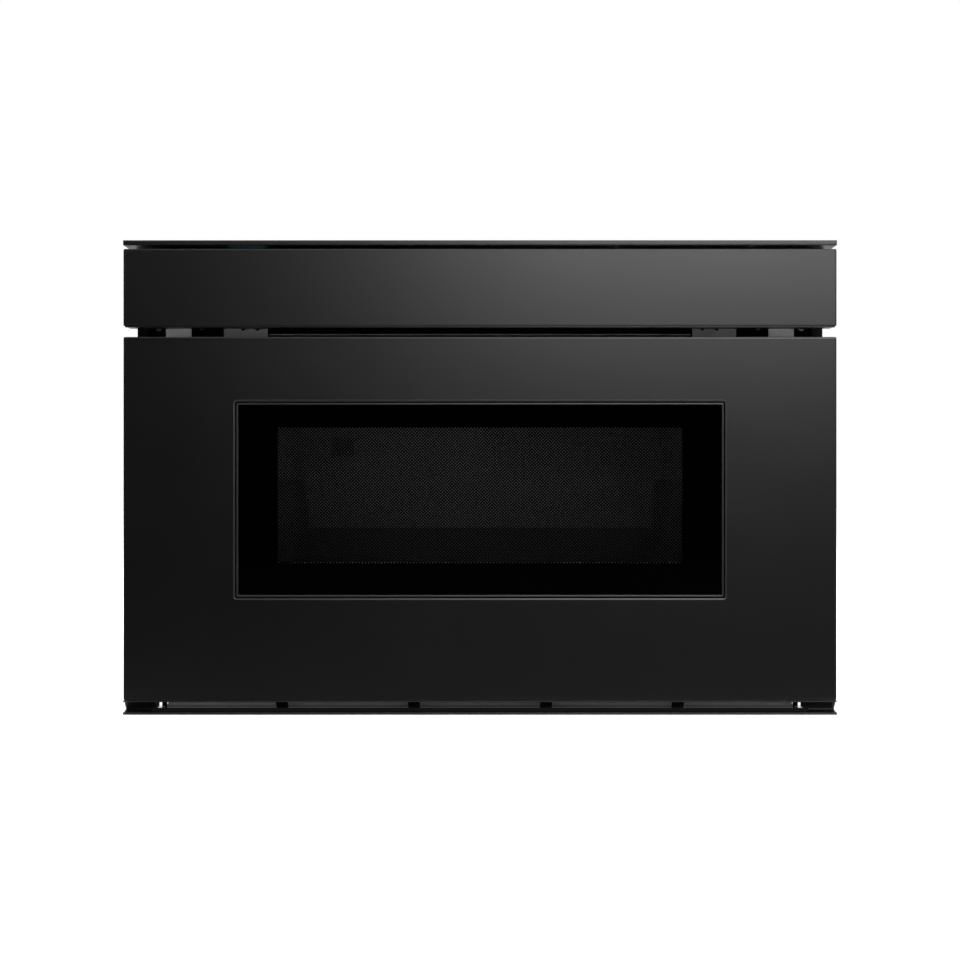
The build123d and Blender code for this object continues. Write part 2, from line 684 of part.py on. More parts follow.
FAN_SHAFT_R = 2.5
FAN_MOTOR_R = 18.0
FAN_MOTOR = 14.0                    # length
FAN_DEPTH = 40.0
FAN_ARM = 4.0                       # depth of the arms that carry the motor
FAN_BORDER = 5.0
FAN_REAR = CASE_BACK - SHEET
MOTOR_FRONT = FAN_REAR - FAN_ARM - FAN_MOTOR
FAN_BLADES = 7
FAN_BLADE = (1.6, 24.0)             # thickness and width
FAN_PITCH = 35.0
FAN_HUB = 17.0                      # length


def fan_housing():
    """The fan's square frame behind the grille, with four arms that carry the motor."""
    half = FAN_R + FAN_BORDER
    start = FAN_REAR - FAN_DEPTH
    frame = block(FAN_X - half, FAN_X + half, start, FAN_REAR, FAN_Z - half, FAN_Z + half)
    frame = fillet(frame.edges().filter_by(Axis.Y), FAN_BORDER + 3)
    frame -= rod((FAN_X, start - 1, FAN_Z), REARWARD, FAN_R, FAN_DEPTH + 2)
    reach = FAN_R + 1
    arm = block(-reach, reach, FAN_REAR - FAN_ARM, FAN_REAR, -3, 3)
    for turn in (45, 135):
        frame += Pos(FAN_X, 0, FAN_Z) * Rot(0, turn, 0) * arm
    return frame


def fan_motor():
    """The fan's motor, on the arms of its frame."""
    can = rod((FAN_X, MOTOR_FRONT, FAN_Z), REARWARD, FAN_MOTOR_R, FAN_MOTOR)
    can = fillet(can.edges().sort_by(Axis.Y)[0], 1.5)
    bore = rod((FAN_X, MOTOR_FRONT - 1, FAN_Z), REARWARD, FAN_SHAFT_R + RUNNING, FAN_MOTOR - 1)
    return can - bore


def fan_impeller():
    """The fan's hub, its seven pitched blades and the shaft into the motor."""
    start = MOTOR_FRONT - FAN_HUB - 1
    reach = FAN_R - 2
    thick, wide = FAN_BLADE
    hub = rod((0, start, 0), REARWARD, FAN_MOTOR_R, FAN_HUB)
    hub = fillet(hub.edges().sort_by(Axis.Y)[0], 3.0)
    hub += rod((0, MOTOR_FRONT - 2, 0), REARWARD, FAN_SHAFT_R, FAN_MOTOR - 3)
    middle = Pos((FAN_MOTOR_R + reach) / 2, start + FAN_HUB / 2, 0)
    blade = middle * Rot(FAN_PITCH, 0, 0) * Box(reach - FAN_MOTOR_R + 4, thick, wide)
    blades = [Rot(0, turn * 360 / FAN_BLADES, 0) * blade for turn in range(FAN_BLADES)]
    swept = rod((0, start - wide, 0), REARWARD, reach, 3 * wide)
    return Pos(FAN_X, 0, FAN_Z) * (hub + [piece & swept for piece in blades])


# Runners

RAIL_END = RAIL_FRONT + RAIL_LENGTH


def channel(web, tips, off):
    """A rail of the right side: an upright web with two level flanges towards the tips."""
    rail = block(*web, RAIL_FRONT, RAIL_END, RAIL_Z - off, RAIL_Z + off)
    flange = (tips, web[0]) if tips < web[0] else (web[1], tips)
    rail += block(*flange, RAIL_FRONT, RAIL_END, RAIL_Z + off - THICK, RAIL_Z + off)
    rail += block(*flange, RAIL_FRONT, RAIL_END, RAIL_Z - off, RAIL_Z - off + THICK)
    return rail


CABINET_WEB = (CASE_HALF - SHEET - THICK, CASE_HALF - SHEET)
CABINET_TIPS = 266.0
MIDDLE_WEB = (275.5, 277.0)
MIDDLE_TIPS = 264.5
DRAWER_WEB = (262.5, 264.0)
DRAWER_TIPS = 273.0
CABINET_OFF = 22.5                  # from the rail's middle to its outer edge
MIDDLE_OFF = 17.5
DRAWER_OFF = 12.5
BLOCK_LENGTH = 85.0
OUTER_BLOCK_X = (267.5, 275.0)
INNER_BLOCK_X = (265.5, 272.5)


def cabinet_rails():
    """The fixed members of the runners, on the sides of the case."""
    return both(channel(CABINET_WEB, CABINET_TIPS, CABINET_OFF))


def intermediate_rail():
    """The right middle member, with the nylon blocks that bear on its neighbours."""
    pieces = [channel(MIDDLE_WEB, MIDDLE_TIPS, MIDDLE_OFF)]
    outer_y = (RAIL_END - 5 - BLOCK_LENGTH, RAIL_END - 5)
    inner_y = (RAIL_FRONT + 5, RAIL_FRONT + 5 + BLOCK_LENGTH)
    for side in (-1, 1):
        outer = sorted((RAIL_Z + side * MIDDLE_OFF, RAIL_Z + side * (CABINET_OFF - THICK - RUNNING)))
        inner = sorted((RAIL_Z + side * (DRAWER_OFF + RUNNING), RAIL_Z + side * (MIDDLE_OFF - THICK)))
        pieces.append(block(*OUTER_BLOCK_X, *outer_y, *outer))
        pieces.append(block(*INNER_BLOCK_X, *inner_y, *inner))
    return group(pieces)


BRACKET_X = (260.5, 262.5)
BRACKET_HIGH = 158.0
BRACKET_FOOT = (281.0, 100.0)       # outer side and low end of the foot on the drawer front
RACK_X = (254.5, 262.5)
PITCH_R = MODULE * PINION_TEETH / 2
RACK_PITCH_Z = SHAFT_Z + PITCH_R
RACK_ROOT_Z = RACK_PITCH_Z + 1.25 * MODULE
RACK_TOP = RACK_ROOT_Z + 5.5
TOOTH_PITCH = math.pi * MODULE


def drawer_rails():
    """The drawer's rail members, each with the bracket that ties it to the drawer front."""
    rail = channel(DRAWER_WEB, DRAWER_TIPS, DRAWER_OFF)
    start = FACE + DOOR_RETURN
    thick = BRACKET_X[1] - BRACKET_X[0]
    bracket = block(*BRACKET_X, start, RAIL_END, RACK_TOP + thick, BRACKET_HIGH)
    bracket += block(BRACKET_X[1], BRACKET_FOOT[0], start, start + thick, BRACKET_FOOT[1], BRACKET_HIGH)
    bracket += block(RACK_X[0], BRACKET_X[1], RAIL_FRONT, RAIL_END, RACK_TOP, RACK_TOP + thick)
    return both(group([rail, bracket - screw_holes(BRACKET_SCREWS, REARWARD)]))


def gear_racks():
    """The toothed racks under the drawer's rails. A gap stands over each pinion at rest."""
    start = RAIL_FRONT + 2
    end = PINION_Y + TRAVEL + 8
    tip = RACK_PITCH_Z - MODULE
    half_root = TOOTH_PITCH / 4 - BACKLASH / 4 + 1.25 * MODULE * math.tan(PRESSURE_ANGLE)
    half_tip = TOOTH_PITCH / 4 - BACKLASH / 4 - MODULE * math.tan(PRESSURE_ANGLE)
    points = [(start, RACK_TOP), (start, RACK_ROOT_Z)]
    first = math.ceil((start + half_root - PINION_Y) / TOOTH_PITCH - 0.5)
    last = math.floor((end - half_root - PINION_Y) / TOOTH_PITCH - 0.5)
    for tooth in range(first, last + 1):
        y = PINION_Y + (tooth + 0.5) * TOOTH_PITCH
        points += [(y - half_root, RACK_ROOT_Z), (y - half_tip, tip), (y + half_tip, tip),
                   (y + half_root, RACK_ROOT_Z)]
    points += [(end, RACK_ROOT_Z), (end, RACK_TOP)]
    return both(bar([(y - FACE, z) for y, z in points], *RACK_X))


def involute_tooth(teeth):
    """Half the angle of a tooth at several radii, from its root to its tip."""
    pitch_r = MODULE * teeth / 2
    base_r = pitch_r * math.cos(PRESSURE_ANGLE)
    at_pitch = math.tan(PRESSURE_ANGLE) - PRESSURE_ANGLE
    half_at_pitch = (TOOTH_PITCH / 2 - BACKLASH / 2) / 2 / pitch_r
    sides = [(pitch_r - 1.25 * MODULE, half_at_pitch + at_pitch)]
    for step in range(6):
        radius = base_r + (pitch_r + MODULE - base_r) * step / 5
        angle = math.acos(base_r / radius)
        sides.append((radius, half_at_pitch + at_pitch - (math.tan(angle) - angle)))
    return sides


def pinion(x0, x1):
    """A spur pinion across the drive shaft, with one tooth pointing straight up."""
    points = []
    for tooth in range(PINION_TEETH):
        middle = math.pi / 2 + tooth * 2 * math.pi / PINION_TEETH
        sides = involute_tooth(PINION_TEETH)
        points += [(radius, middle - half) for radius, half in sides]
        points += [(radius, middle + half) for radius, half in reversed(sides)]
    outline = [(PINION_Y - FACE + radius * math.cos(angle), SHAFT_Z + radius * math.sin(angle))
               for radius, angle in points]
    return bar(outline, x0, x1)


BEARING_X = (226.0, 238.0)
BEARING_R = 12.0
GEAR_HUB_R = 9.0


def drive_shaft():
    """The cross shaft with a pinion and its hub at each end."""
    end = RACK_X[1] - 0.5
    shaft = rod((-end, PINION_Y, SHAFT_Z), OUTWARD, SHAFT_R, 2 * end)
    hub_start = BEARING_X[1] + 1
    gear = pinion(RACK_X[0] + 0.5, end)
    gear += rod((hub_start, PINION_Y, SHAFT_Z), OUTWARD, GEAR_HUB_R, RACK_X[0] + 0.5 - hub_start)
    return shaft + gear + mirror(gear, about=Plane.YZ)


def shaft_bearings():
    """The bearing stands of the cross shaft, on the base pan."""
    x0, x1 = BEARING_X
    y0, y1 = PINION_Y - BEARING_R, PINION_Y + BEARING_R
    stand = block(x0, x1, y0, y1, PAN_TOP, SHAFT_Z)
    stand += rod((x0, PINION_Y, SHAFT_Z), OUTWARD, BEARING_R, x1 - x0)
    stand += block(x0 - BEARING_R, x1 + BEARING_R, y0, y1, PAN_TOP, PAN_TOP + 4)
    bore = rod((x0 - 1, PINION_Y, SHAFT_Z), OUTWARD, SHAFT_R + RUNNING, x1 - x0 + 2)
    return both(stand - bore)


GEARBOX_X = (70.0, 112.0)
GEARBOX_DEPTH = (11.0, 52.0)        # in front of the shaft and behind it
GEARBOX_LOW = 26.0
GEARBOX_FOOT = (4.0, 44.0, 10.0)    # in front of the shaft, behind it, and past each side
MOTOR_CAN = (20.0, 62.0)            # radius and length
MOTOR_BOSS = (7.0, 5.0)
MOTOR_AXIS = (30.0, 50.0)           # behind the shaft, and height


def drive_motor():
    """The drawer's motor and its gearbox, which the cross shaft runs through."""
    x0, x1 = GEARBOX_X
    fore, aft = GEARBOX_DEPTH
    box = block(x0, x1, PINION_Y - fore, PINION_Y + aft, GEARBOX_LOW, SHAFT_Z + fore)
    box = fillet(box.edges().filter_by(Axis.X), 5.0)
    fore, aft, side = GEARBOX_FOOT
    y0, y1 = PINION_Y - fore, PINION_Y + aft
    box += block(x0 + 6, x1 - 6, y0, y1, PAN_TOP + 2, GEARBOX_LOW + 1)
    box += block(x0 - side, x1 + side, y0, y1, PAN_TOP, PAN_TOP + 2)
    y, z = PINION_Y + MOTOR_AXIS[0], MOTOR_AXIS[1]
    can = rod((x1, y, z), OUTWARD, *MOTOR_CAN)
    can = fillet(can.edges().sort_by(Axis.X)[-1], 3.0)
    can += rod((x1 + MOTOR_CAN[1], y, z), OUTWARD, *MOTOR_BOSS)
    bore = rod((x0 - 1, PINION_Y, SHAFT_Z), OUTWARD, SHAFT_R + RUNNING, x1 - x0 + 2)
    return box + can - bore


# Latch fingers, interlock switches and bumpers

FINGER_X = (260.0, 266.0)
FINGER_Z = (236.0, 244.0)
FINGER_DEPTH = 62.0
LEVER_PIN_DEPTH = FINGER_DEPTH + 5
LEVER_PIN_Z = 264.0
LEVER_PIN_R = 1.5
LEVER_BOSS_R = 4.0
LEVER_DEPTH = FINGER_DEPTH + 0.4    # the lever hangs just behind the finger
LATCH_FOOT = (257.5, 275.0, 14.0)   # x range, and reach above and below the finger


def latch_heads():
    """The drawer front's two latch fingers, on their feet."""
    start = DOOR_RETURN
    x0, x1, reach = LATCH_FOOT
    z0, z1 = FINGER_Z
    finger = front(*FINGER_X, start, FINGER_DEPTH, z0, z1)
    finger = fillet(finger.edges().group_by(Axis.Y)[-1], 1.5)
    finger += front(x0, x1, start, start + 2.5, z0 - reach, z1 + reach)
    finger += front(*FINGER_X, start, start + 12, z0 - 8, z1 + 8)
    return both(finger)


def interlock_lever():
    """The right switch's lever: a strip that hangs from its pin behind the latch finger."""
    width = FINGER_X[1] - FINGER_X[0]
    depth = LEVER_DEPTH
    strip = front(*FINGER_X, depth, depth + SHEET, FINGER_Z[0] - 4, LEVER_PIN_Z - 2)
    boss = rod((FINGER_X[0], FACE + LEVER_PIN_DEPTH, LEVER_PIN_Z), OUTWARD, LEVER_BOSS_R, width)
    arm = front(*FINGER_X, depth, LEVER_PIN_DEPTH, LEVER_PIN_Z - LEVER_BOSS_R, LEVER_PIN_Z - 1)
    bore = rod((FINGER_X[0] - 1, FACE + LEVER_PIN_DEPTH, LEVER_PIN_Z), OUTWARD,
               LEVER_PIN_R + RUNNING, width + 2)
    return strip + boss + arm - bore


SWITCH_X = (257.0, 271.0)
SWITCH_DEPTH = (72.0, 92.0)
SWITCH_Z = (226.0, 254.0)
BUTTON_X = (261.0, 265.0)
BUTTON_Z = (238.0, 242.0)
SWITCH_PLATE_Z = (222.0, 272.0)


def interlock_switches():
    """The switch blocks on their plates behind the front frame, each with its lever's pin."""
    start = FLANGE_DEPTH + THICK
    x = SWITCH_X[1]
    body = front(*SWITCH_X, *SWITCH_DEPTH, *SWITCH_Z)
    body += front(*BUTTON_X, SWITCH_DEPTH[0] - THICK, SWITCH_DEPTH[0], *BUTTON_Z)
    plate = front(x, x + THICK, start, SWITCH_DEPTH[1], *SWITCH_PLATE_Z)
    foot = front(x + THICK, CABINET_WEB[1] - SHEET, start, start + THICK, *SWITCH_PLATE_Z)
    pin_start = FINGER_X[0] - 1
    pin = rod((pin_start, FACE + LEVER_PIN_DEPTH, LEVER_PIN_Z), OUTWARD, LEVER_PIN_R,
              x + THICK - pin_start)
    return both(body + plate + foot + pin)


BUMPER_PLATE_X = (254.7, 277.0)
BUMPER_PLATE_Z = (296.0, 345.0)
BUMPER_R = 6.0
BUMPERS_Z = (34.0, 308.0)


def bumper_plates():
    """The bright plates on the front frame that the drawer front's upper bumpers meet."""
    plate = front(*BUMPER_PLATE_X, FLANGE_DEPTH - PLATE, FLANGE_DEPTH, *BUMPER_PLATE_Z)
    return both(plate - screw_holes([seat for seat in FRAME_SCREWS if seat[0] == BUMPER_X], FORWARD))


def door_bumpers():
    """Four rubber bumpers on the back of the drawer front."""
    pieces = []
    for z, end in zip(BUMPERS_Z, (FLANGE_DEPTH, FLANGE_DEPTH - PLATE)):
        bumper = rod((BUMPER_X, FACE + DOOR_RETURN, z), REARWARD, BUMPER_R, end - DOOR_RETURN - RUNNING)
        pieces.append(fillet(bumper.edges().sort_by(Axis.Y)[-1], 1.5))
    return both(group(pieces))


# Drawer front

def door_skin():
    """The sheet steel front, folded back on all four sides, with the window's opening."""
    skin = rounded_box(DOOR_HALF, 0, DOOR_RETURN, DOOR_LOW, DOOR_HIGH, CORNER)
    skin = fillet(skin.edges().group_by(Axis.Y)[0], EDGE)
    skin -= panel(DOOR_HALF - SHEET, SHEET, DOOR_RETURN + 1, DOOR_LOW + SHEET, DOOR_HIGH - SHEET)
    return skin - outlined(grown(WINDOW, TRIM_NECK + 0.1), -1, DOOR_RETURN)


def window_trim():
    """The bright frame of the window: two narrow ridges with a groove, and a neck inside."""
    half, low, high = grown(WINDOW, TRIM_WIDTH)
    outer = rounded_box(half, PROUD, 0, low, high, TRIM_CORNER)
    neck = outlined(grown(WINDOW, TRIM_NECK), 0, GLASS_DEPTH)
    frame = outer + neck - outlined(WINDOW, -1, GLASS_DEPTH + 1)
    groove = ring(grown(WINDOW, GROOVE[1]), grown(WINDOW, GROOVE[0]), PROUD, -GROOVE_FLOOR)
    return frame - groove


def window_glass():
    """The outer pane, against the trim's neck."""
    return outlined(grown(WINDOW, 8.0), GLASS_DEPTH, GLASS_DEPTH + GLASS)


SCREEN_DEPTH = 28.0
FACE_WINDOW = (200.0, 104.0, 258.0)
PANE_DEPTH = CHOKE_FACE - PLATE - GLASS


def door_screen():
    """The microwave screen: a pan whose turned edge meets the inner pane."""
    outline = grown(CHOKE_INNER, -PLATE - 0.4)
    screen = outlined(outline, SCREEN_DEPTH, SCREEN_DEPTH + THIN)
    return screen + ring(outline, grown(outline, -THIN), SCREEN_DEPTH, PANE_DEPTH)


def inner_glass():
    """The inner pane, between the screen and the choke frame's face."""
    return outlined(grown(CHOKE_INNER, -PLATE - 0.2), PANE_DEPTH, PANE_DEPTH + GLASS)


def choke_frame():
    """The folded steel frame round the cavity's mouth: a plate, two walls and a face."""
    outer = grown(CHOKE_INNER, CHOKE_GAP)
    plate = ring(grown(outer, 8.0), grown(CHOKE_INNER, -PLATE), DOOR_RETURN, DOOR_RETURN + PLATE)
    wall = ring(outer, grown(outer, -PLATE), DOOR_RETURN + PLATE, CHOKE_FACE - CHOKE_LID)
    inner = ring(CHOKE_INNER, grown(CHOKE_INNER, -PLATE), DOOR_RETURN + PLATE, CHOKE_FACE - PLATE)
    face = ring(CHOKE_INNER, FACE_WINDOW, CHOKE_FACE - PLATE, CHOKE_FACE)
    return plate + wall + inner + face - screw_holes(CHOKE_SCREWS, REARWARD)


def choke_cover():
    """The plastic ring that closes the choke's channel."""
    outer = grown(CHOKE_INNER, CHOKE_GAP)
    return ring(outer, grown(CHOKE_INNER, 0.1), CHOKE_FACE - CHOKE_LID, CHOKE_FACE - 0.2)


def door_back_cover():
    """The sheet that closes the back of the skin round the choke frame."""
    outline = grown((DOOR_HALF, DOOR_LOW, DOOR_HIGH), -SHEET - RUNNING)
    cover = ring(outline, grown(CHOKE_INNER, CHOKE_GAP - 2), DOOR_RETURN - PLATE, DOOR_RETURN)
    cover -= screw_holes(CHOKE_SCREWS, REARWARD)
    holes = screw_holes(BRACKET_SCREWS, REARWARD)
    return cover - holes - [mirror(hole, about=Plane.YZ) for hole in holes]


# Tray

def drawer_tray():
    """The sheet steel tray: floor, low back wall, and side walls rounded at the top behind."""
    start = CHOKE_FACE
    end = TRAY_BACK - FACE
    floor = panel(TRAY_HALF, start, end, TRAY_LOW, TRAY_LOW + PLATE)
    rear = panel(TRAY_HALF, end - PLATE, end, TRAY_LOW, TRAY_BACK_HIGH)
    side = front(TRAY_HALF - PLATE, TRAY_HALF, start, end, TRAY_LOW, TRAY_SIDE_HIGH)
    side = fillet(side.edges().filter_by(Axis.X).group_by(Axis.Y)[-1].sort_by(Axis.Z)[-1], TRAY_CORNER)
    side += front(TRAY_HALF, TRAY_HALF + 5, start, start + PLATE, TRAY_LOW + 4, TRAY_SIDE_HIGH)
    tray = floor + rear + side + mirror(side, about=Plane.YZ)
    for x in SUPPORTS_X:
        tray += block(x - 5, x + 5, FACE + 60, TRAY_BACK - 20, TRAY_LOW + PLATE, SHELF_HIGH - SHELF)
    return tray


def ceramic_shelf():
    """The glass-ceramic floor of the tray, with rounded corners and a raised rim."""
    y0 = FACE + CHOKE_FACE + 2
    y1 = TRAY_BACK - PLATE - 2
    half = TRAY_HALF - PLATE - 2
    rim, high = SHELF_RIM
    shelf = block(-half, half, y0, y1, SHELF_HIGH - SHELF, SHELF_HIGH)
    shelf = fillet(shelf.edges().filter_by(Axis.Z), SHELF_CORNER)
    well = block(rim - half, half - rim, y0 + rim, y1 - rim, SHELF_HIGH - high, SHELF_HIGH + 1)
    return shelf - fillet(well.edges().filter_by(Axis.Z), SHELF_CORNER - rim / 2)


# Control panel

def panel_skin():
    """The sheet steel front of the control panel, notched below for the hinge arms."""
    skin = rounded_box(PANEL_HALF, 0, PANEL_EDGE, PANEL_LOW, PANEL_HIGH, CORNER)
    skin = fillet(skin.edges().group_by(Axis.Y)[0], EDGE)
    skin -= panel(PANEL_HALF - SHEET, SHEET, PANEL_EDGE + 1, PANEL_LOW + SHEET, PANEL_HIGH - SHEET)
    skin -= panel(PANEL_HALF - SHEET, GLASS_FRONT[0] - 4 * RUNNING, PANEL_EDGE + 1,
                  PANEL_HIGH - 2 * SHEET, PANEL_HIGH + 1)
    notch = front(ARM_X - THICK, ARM_X + 3 * THICK, THICK, PANEL_EDGE + 1,
                  PANEL_LOW - 1, PANEL_LOW + 2)
    return skin - notch - mirror(notch, about=Plane.YZ)


HOUSING_BACK = 35.4
HOUSING_WALL = 2.0
TOUCH_GLASS = 2.0
WELL_DEPTH = (6.0, 31.0)            # of the opening under the touch glass
BOARD_DEPTH = (4.0, 33.0)
BOARD_LOW = 380.0
BOARD_LEDGE_X = 250.0
PIN_START = HOUSING_HALF - 10       # the pins' inner ends
BOSS = (4.6, 12.0)                  # radius and length of the housing's bosses for the pins


def panel_housing():
    """The moulded box behind the skin, open under the touch glass, with bosses for the pins."""
    outer = [
        (1, 331), (12, 331), (HOUSING_BACK, 352), (HOUSING_BACK, GLASS_REAR[1] - TOUCH_GLASS),
        (3, GLASS_FRONT[1] - TOUCH_GLASS), (1, GLASS_FRONT[1] - TOUCH_GLASS),
    ]
    back = HOUSING_BACK - HOUSING_WALL
    inner = [(3, 333), (11.3, 333), (back, 353), (back, 385.6), (3, 390)]
    half = HOUSING_HALF - HOUSING_WALL
    box = bar(outer, -HOUSING_HALF, HOUSING_HALF) - bar(inner, -half, half)
    box -= panel(BOARD_LEDGE_X + 12, *WELL_DEPTH, BOARD_LOW, PANEL_HIGH)
    ledge = front(BOARD_LEDGE_X, half, *BOARD_DEPTH, BOARD_LOW - 4, BOARD_LOW)
    radius, length = BOSS
    boss = rod((HOUSING_HALF - length, FACE + PIVOT_DEPTH, PIVOT_Z), OUTWARD, radius, length)
    bore = rod((PIN_START, FACE + PIVOT_DEPTH, PIVOT_Z), OUTWARD, PIN_R, length)
    for piece in (ledge, boss):
        box += piece
        box += mirror(piece, about=Plane.YZ)
    return box - bore - mirror(bore, about=Plane.YZ)


def touch_glass():
    """The glass with the controls, on top of the housing."""
    section = [GLASS_FRONT, GLASS_REAR, (GLASS_REAR[0], GLASS_REAR[1] - TOUCH_GLASS),
               (GLASS_FRONT[0], GLASS_FRONT[1] - TOUCH_GLASS)]
    return bar(section, -HOUSING_HALF, HOUSING_HALF)


DISPLAY_HALF = 40.0
SENSORS_X = [x for x in range(-240, 241, 24) if abs(x) > DISPLAY_HALF + 10]


def control_board():
    """The circuit board on the housing's ledges, with its display and a sensor for each key."""
    low = BOARD_LOW
    top = low + BOARD
    board = panel(HOUSING_HALF - 2 * HOUSING_WALL, BOARD_DEPTH[0] + 1, BOARD_DEPTH[1] - 1, low, top)
    board += panel(DISPLAY_HALF, 12.0, 24.0, top, top + 3.4)
    board += [front(x - 4, x + 4, 15.0, 22.0, top, top + 2.4) for x in SENSORS_X]
    return board


def hinge_pins():
    """The panel's two pivot pins, with the heads that hold the arms."""
    end = ARM_X + THICK + 6 * RUNNING
    pin = rod((PIN_START, FACE + PIVOT_DEPTH, PIVOT_Z), OUTWARD, PIN_R, end - PIN_START)
    return both(pin + rod((end, FACE + PIVOT_DEPTH, PIVOT_Z), OUTWARD, *PIN_HEAD))


ARM_FOOT_IN = 278.0                 # inner side of the arms' feet
ARM_FOOT_Z = (322.0, 350.0)
ARM_PLATE_DEPTH = 30.0              # the arms widen behind this depth


def hinge_arms():
    """The two thin arms that carry the panel's pins, with feet on the front frame."""
    x0, x1 = ARM_X, ARM_X + THICK
    arm = rod((x0, FACE + PIVOT_DEPTH, PIVOT_Z), OUTWARD, PIN_R + PLATE, THICK)
    arm += front(x0, x1, PIVOT_DEPTH, FLANGE_DEPTH, PIVOT_Z - PIN_R, PIVOT_Z + PIN_R + PLATE)
    arm += front(x0, x1, ARM_PLATE_DEPTH, FLANGE_DEPTH, *ARM_FOOT_Z)
    foot = front(ARM_FOOT_IN, x0, FLANGE_DEPTH - FOOT, FLANGE_DEPTH, *ARM_FOOT_Z)
    bore = rod((x0 - 1, FACE + PIVOT_DEPTH, PIVOT_Z), OUTWARD, PIN_R + RUNNING, THICK + 2)
    arm = arm + foot - bore
    return both(arm - screw_holes([seat for seat in FRAME_SCREWS if seat[0] == ARM_FOOT_X], FORWARD))


CATCH_X = (187.5, 226.0)
CATCH_Z = (322.0, 380.0)
MAGNET_X = (198.0, 215.0)
MAGNET_Z = (357.0, 375.0)
MAGNET_GAP = 0.9                    # between a magnet and the closed housing


def catch_brackets():
    """The grey plates behind the finger gap, each with the magnet that holds the panel closed."""
    plate = front(*CATCH_X, FLANGE_DEPTH - PLATE, FLANGE_DEPTH, *CATCH_Z)
    magnet = front(*MAGNET_X, HOUSING_BACK + MAGNET_GAP, FLANGE_DEPTH - PLATE, *MAGNET_Z)
    holes = screw_holes([seat for seat in FRAME_SCREWS if seat[0] in CATCH_SCREW_X], FORWARD)
    return both(plate + magnet - holes)


BARREL = (12.0, 11.0, 38.0)         # half width, half height and length
BARREL_EAR = 22.0                   # half width of its fixing ears
PLUNGER = 30.0
PLUNGER_GAP = 0.6                   # between the plunger and the closed housing


def push_latch_body():
    """The push latch's barrel behind the front frame."""
    start = FLANGE_DEPTH + THICK
    half, high, length = BARREL
    body = panel(half, start, start + length, PLUNGER_Z - high, PLUNGER_Z + high)
    body = fillet(body.edges().filter_by(Axis.Y), 3.0)
    body += panel(BARREL_EAR, start, start + 3, PLUNGER_Z - high, PLUNGER_Z + high)
    bore = rod((0, FACE + start - 1, PLUNGER_Z), REARWARD, PLUNGER_R + RUNNING, length - 2)
    return body - bore


def latch_plunger():
    """The push latch's plunger, just behind the housing."""
    start = FACE + HOUSING_BACK + PLUNGER_GAP
    plunger = rod((0, start, PLUNGER_Z), REARWARD, PLUNGER_R, PLUNGER)
    return fillet(plunger.edges().sort_by(Axis.Y)[0], 1.2)


# Screws

def chassis_screws():
    """Every screw of the case and the front frame."""
    sides = [screw(seat, OUTWARD) for seat in SIDE_SCREWS]
    return group(
        [screw(seat, FORWARD) for seat in FRAME_SCREWS]
        + [screw(seat, REARWARD) for seat in BACK_SCREWS]
        + [screw(seat, UPWARD) for seat in TOP_SCREWS]
        + sides
        + [mirror(side, about=Plane.YZ) for side in sides]
    )


def door_screws():
    """Every screw on the back of the drawer front."""
    brackets = [screw(seat, REARWARD) for seat in BRACKET_SCREWS]
    return group(
        [screw(seat, REARWARD) for seat in CHOKE_SCREWS]
        + brackets
        + [mirror(bracket, about=Plane.YZ) for bracket in brackets]
    )


PIECES = (
    base_pan, side_panels, top_cover, back_panel, front_frame, top_trim, bottom_trim, air_baffle,
    feet, cavity_shell, cavity_back, stirrer_cover, stirrer_blade, stirrer_motor, waveguide,
    magnetron, cavity_lamp, exhaust_duct, inverter_board, noise_filter_board, power_gland,
    fan_housing, fan_motor, fan_impeller, cabinet_rails, drawer_rails, gear_racks, drive_shaft,
    shaft_bearings, drive_motor, latch_heads, interlock_switches, bumper_plates, door_bumpers,
    door_skin, window_trim, window_glass, door_screen, inner_glass, choke_frame, choke_cover,
    door_back_cover, drawer_tray, ceramic_shelf, panel_skin, panel_housing, touch_glass,
    control_board, hinge_pins, hinge_arms, catch_brackets, push_latch_body, latch_plunger,
    chassis_screws, door_screws,
)
HANDED_PIECES = (intermediate_rail, interlock_lever)


def main():
    """Writes one file for each piece. Pieces that move by side have one file each."""
    os.makedirs("parts", exist_ok=True)
    for make in PIECES:
        export_step(make(), f"parts/{make.__name__}.step")
    for make in HANDED_PIECES:
        right = make()
        export_step(right, f"parts/{make.__name__}_right.step")
        export_step(mirror(right, about=Plane.YZ), f"parts/{make.__name__}_left.step")


if __name__ == "__main__":
    main()
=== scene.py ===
import json
import math
from collections import namedtuple
import bmesh
import bpy
from mathutils import Matrix, Vector

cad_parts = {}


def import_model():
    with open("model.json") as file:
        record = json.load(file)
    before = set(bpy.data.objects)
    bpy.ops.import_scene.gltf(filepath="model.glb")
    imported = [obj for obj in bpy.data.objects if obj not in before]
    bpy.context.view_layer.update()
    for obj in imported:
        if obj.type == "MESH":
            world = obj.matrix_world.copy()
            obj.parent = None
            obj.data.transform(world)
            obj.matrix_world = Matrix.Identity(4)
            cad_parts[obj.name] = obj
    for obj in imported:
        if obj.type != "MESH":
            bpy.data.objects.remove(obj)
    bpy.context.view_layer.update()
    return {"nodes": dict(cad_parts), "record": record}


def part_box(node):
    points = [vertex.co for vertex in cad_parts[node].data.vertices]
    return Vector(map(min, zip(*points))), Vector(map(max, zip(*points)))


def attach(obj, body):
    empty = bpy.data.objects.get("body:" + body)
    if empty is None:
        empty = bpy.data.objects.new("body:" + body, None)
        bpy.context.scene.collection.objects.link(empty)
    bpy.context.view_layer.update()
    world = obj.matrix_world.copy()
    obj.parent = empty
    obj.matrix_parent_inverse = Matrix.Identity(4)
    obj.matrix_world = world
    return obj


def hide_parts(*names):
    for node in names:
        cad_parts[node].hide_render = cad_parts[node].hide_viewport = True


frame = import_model()

MM = 0.001
NODES = frame["nodes"]
SIDES = (("left", -1), ("right", 1))

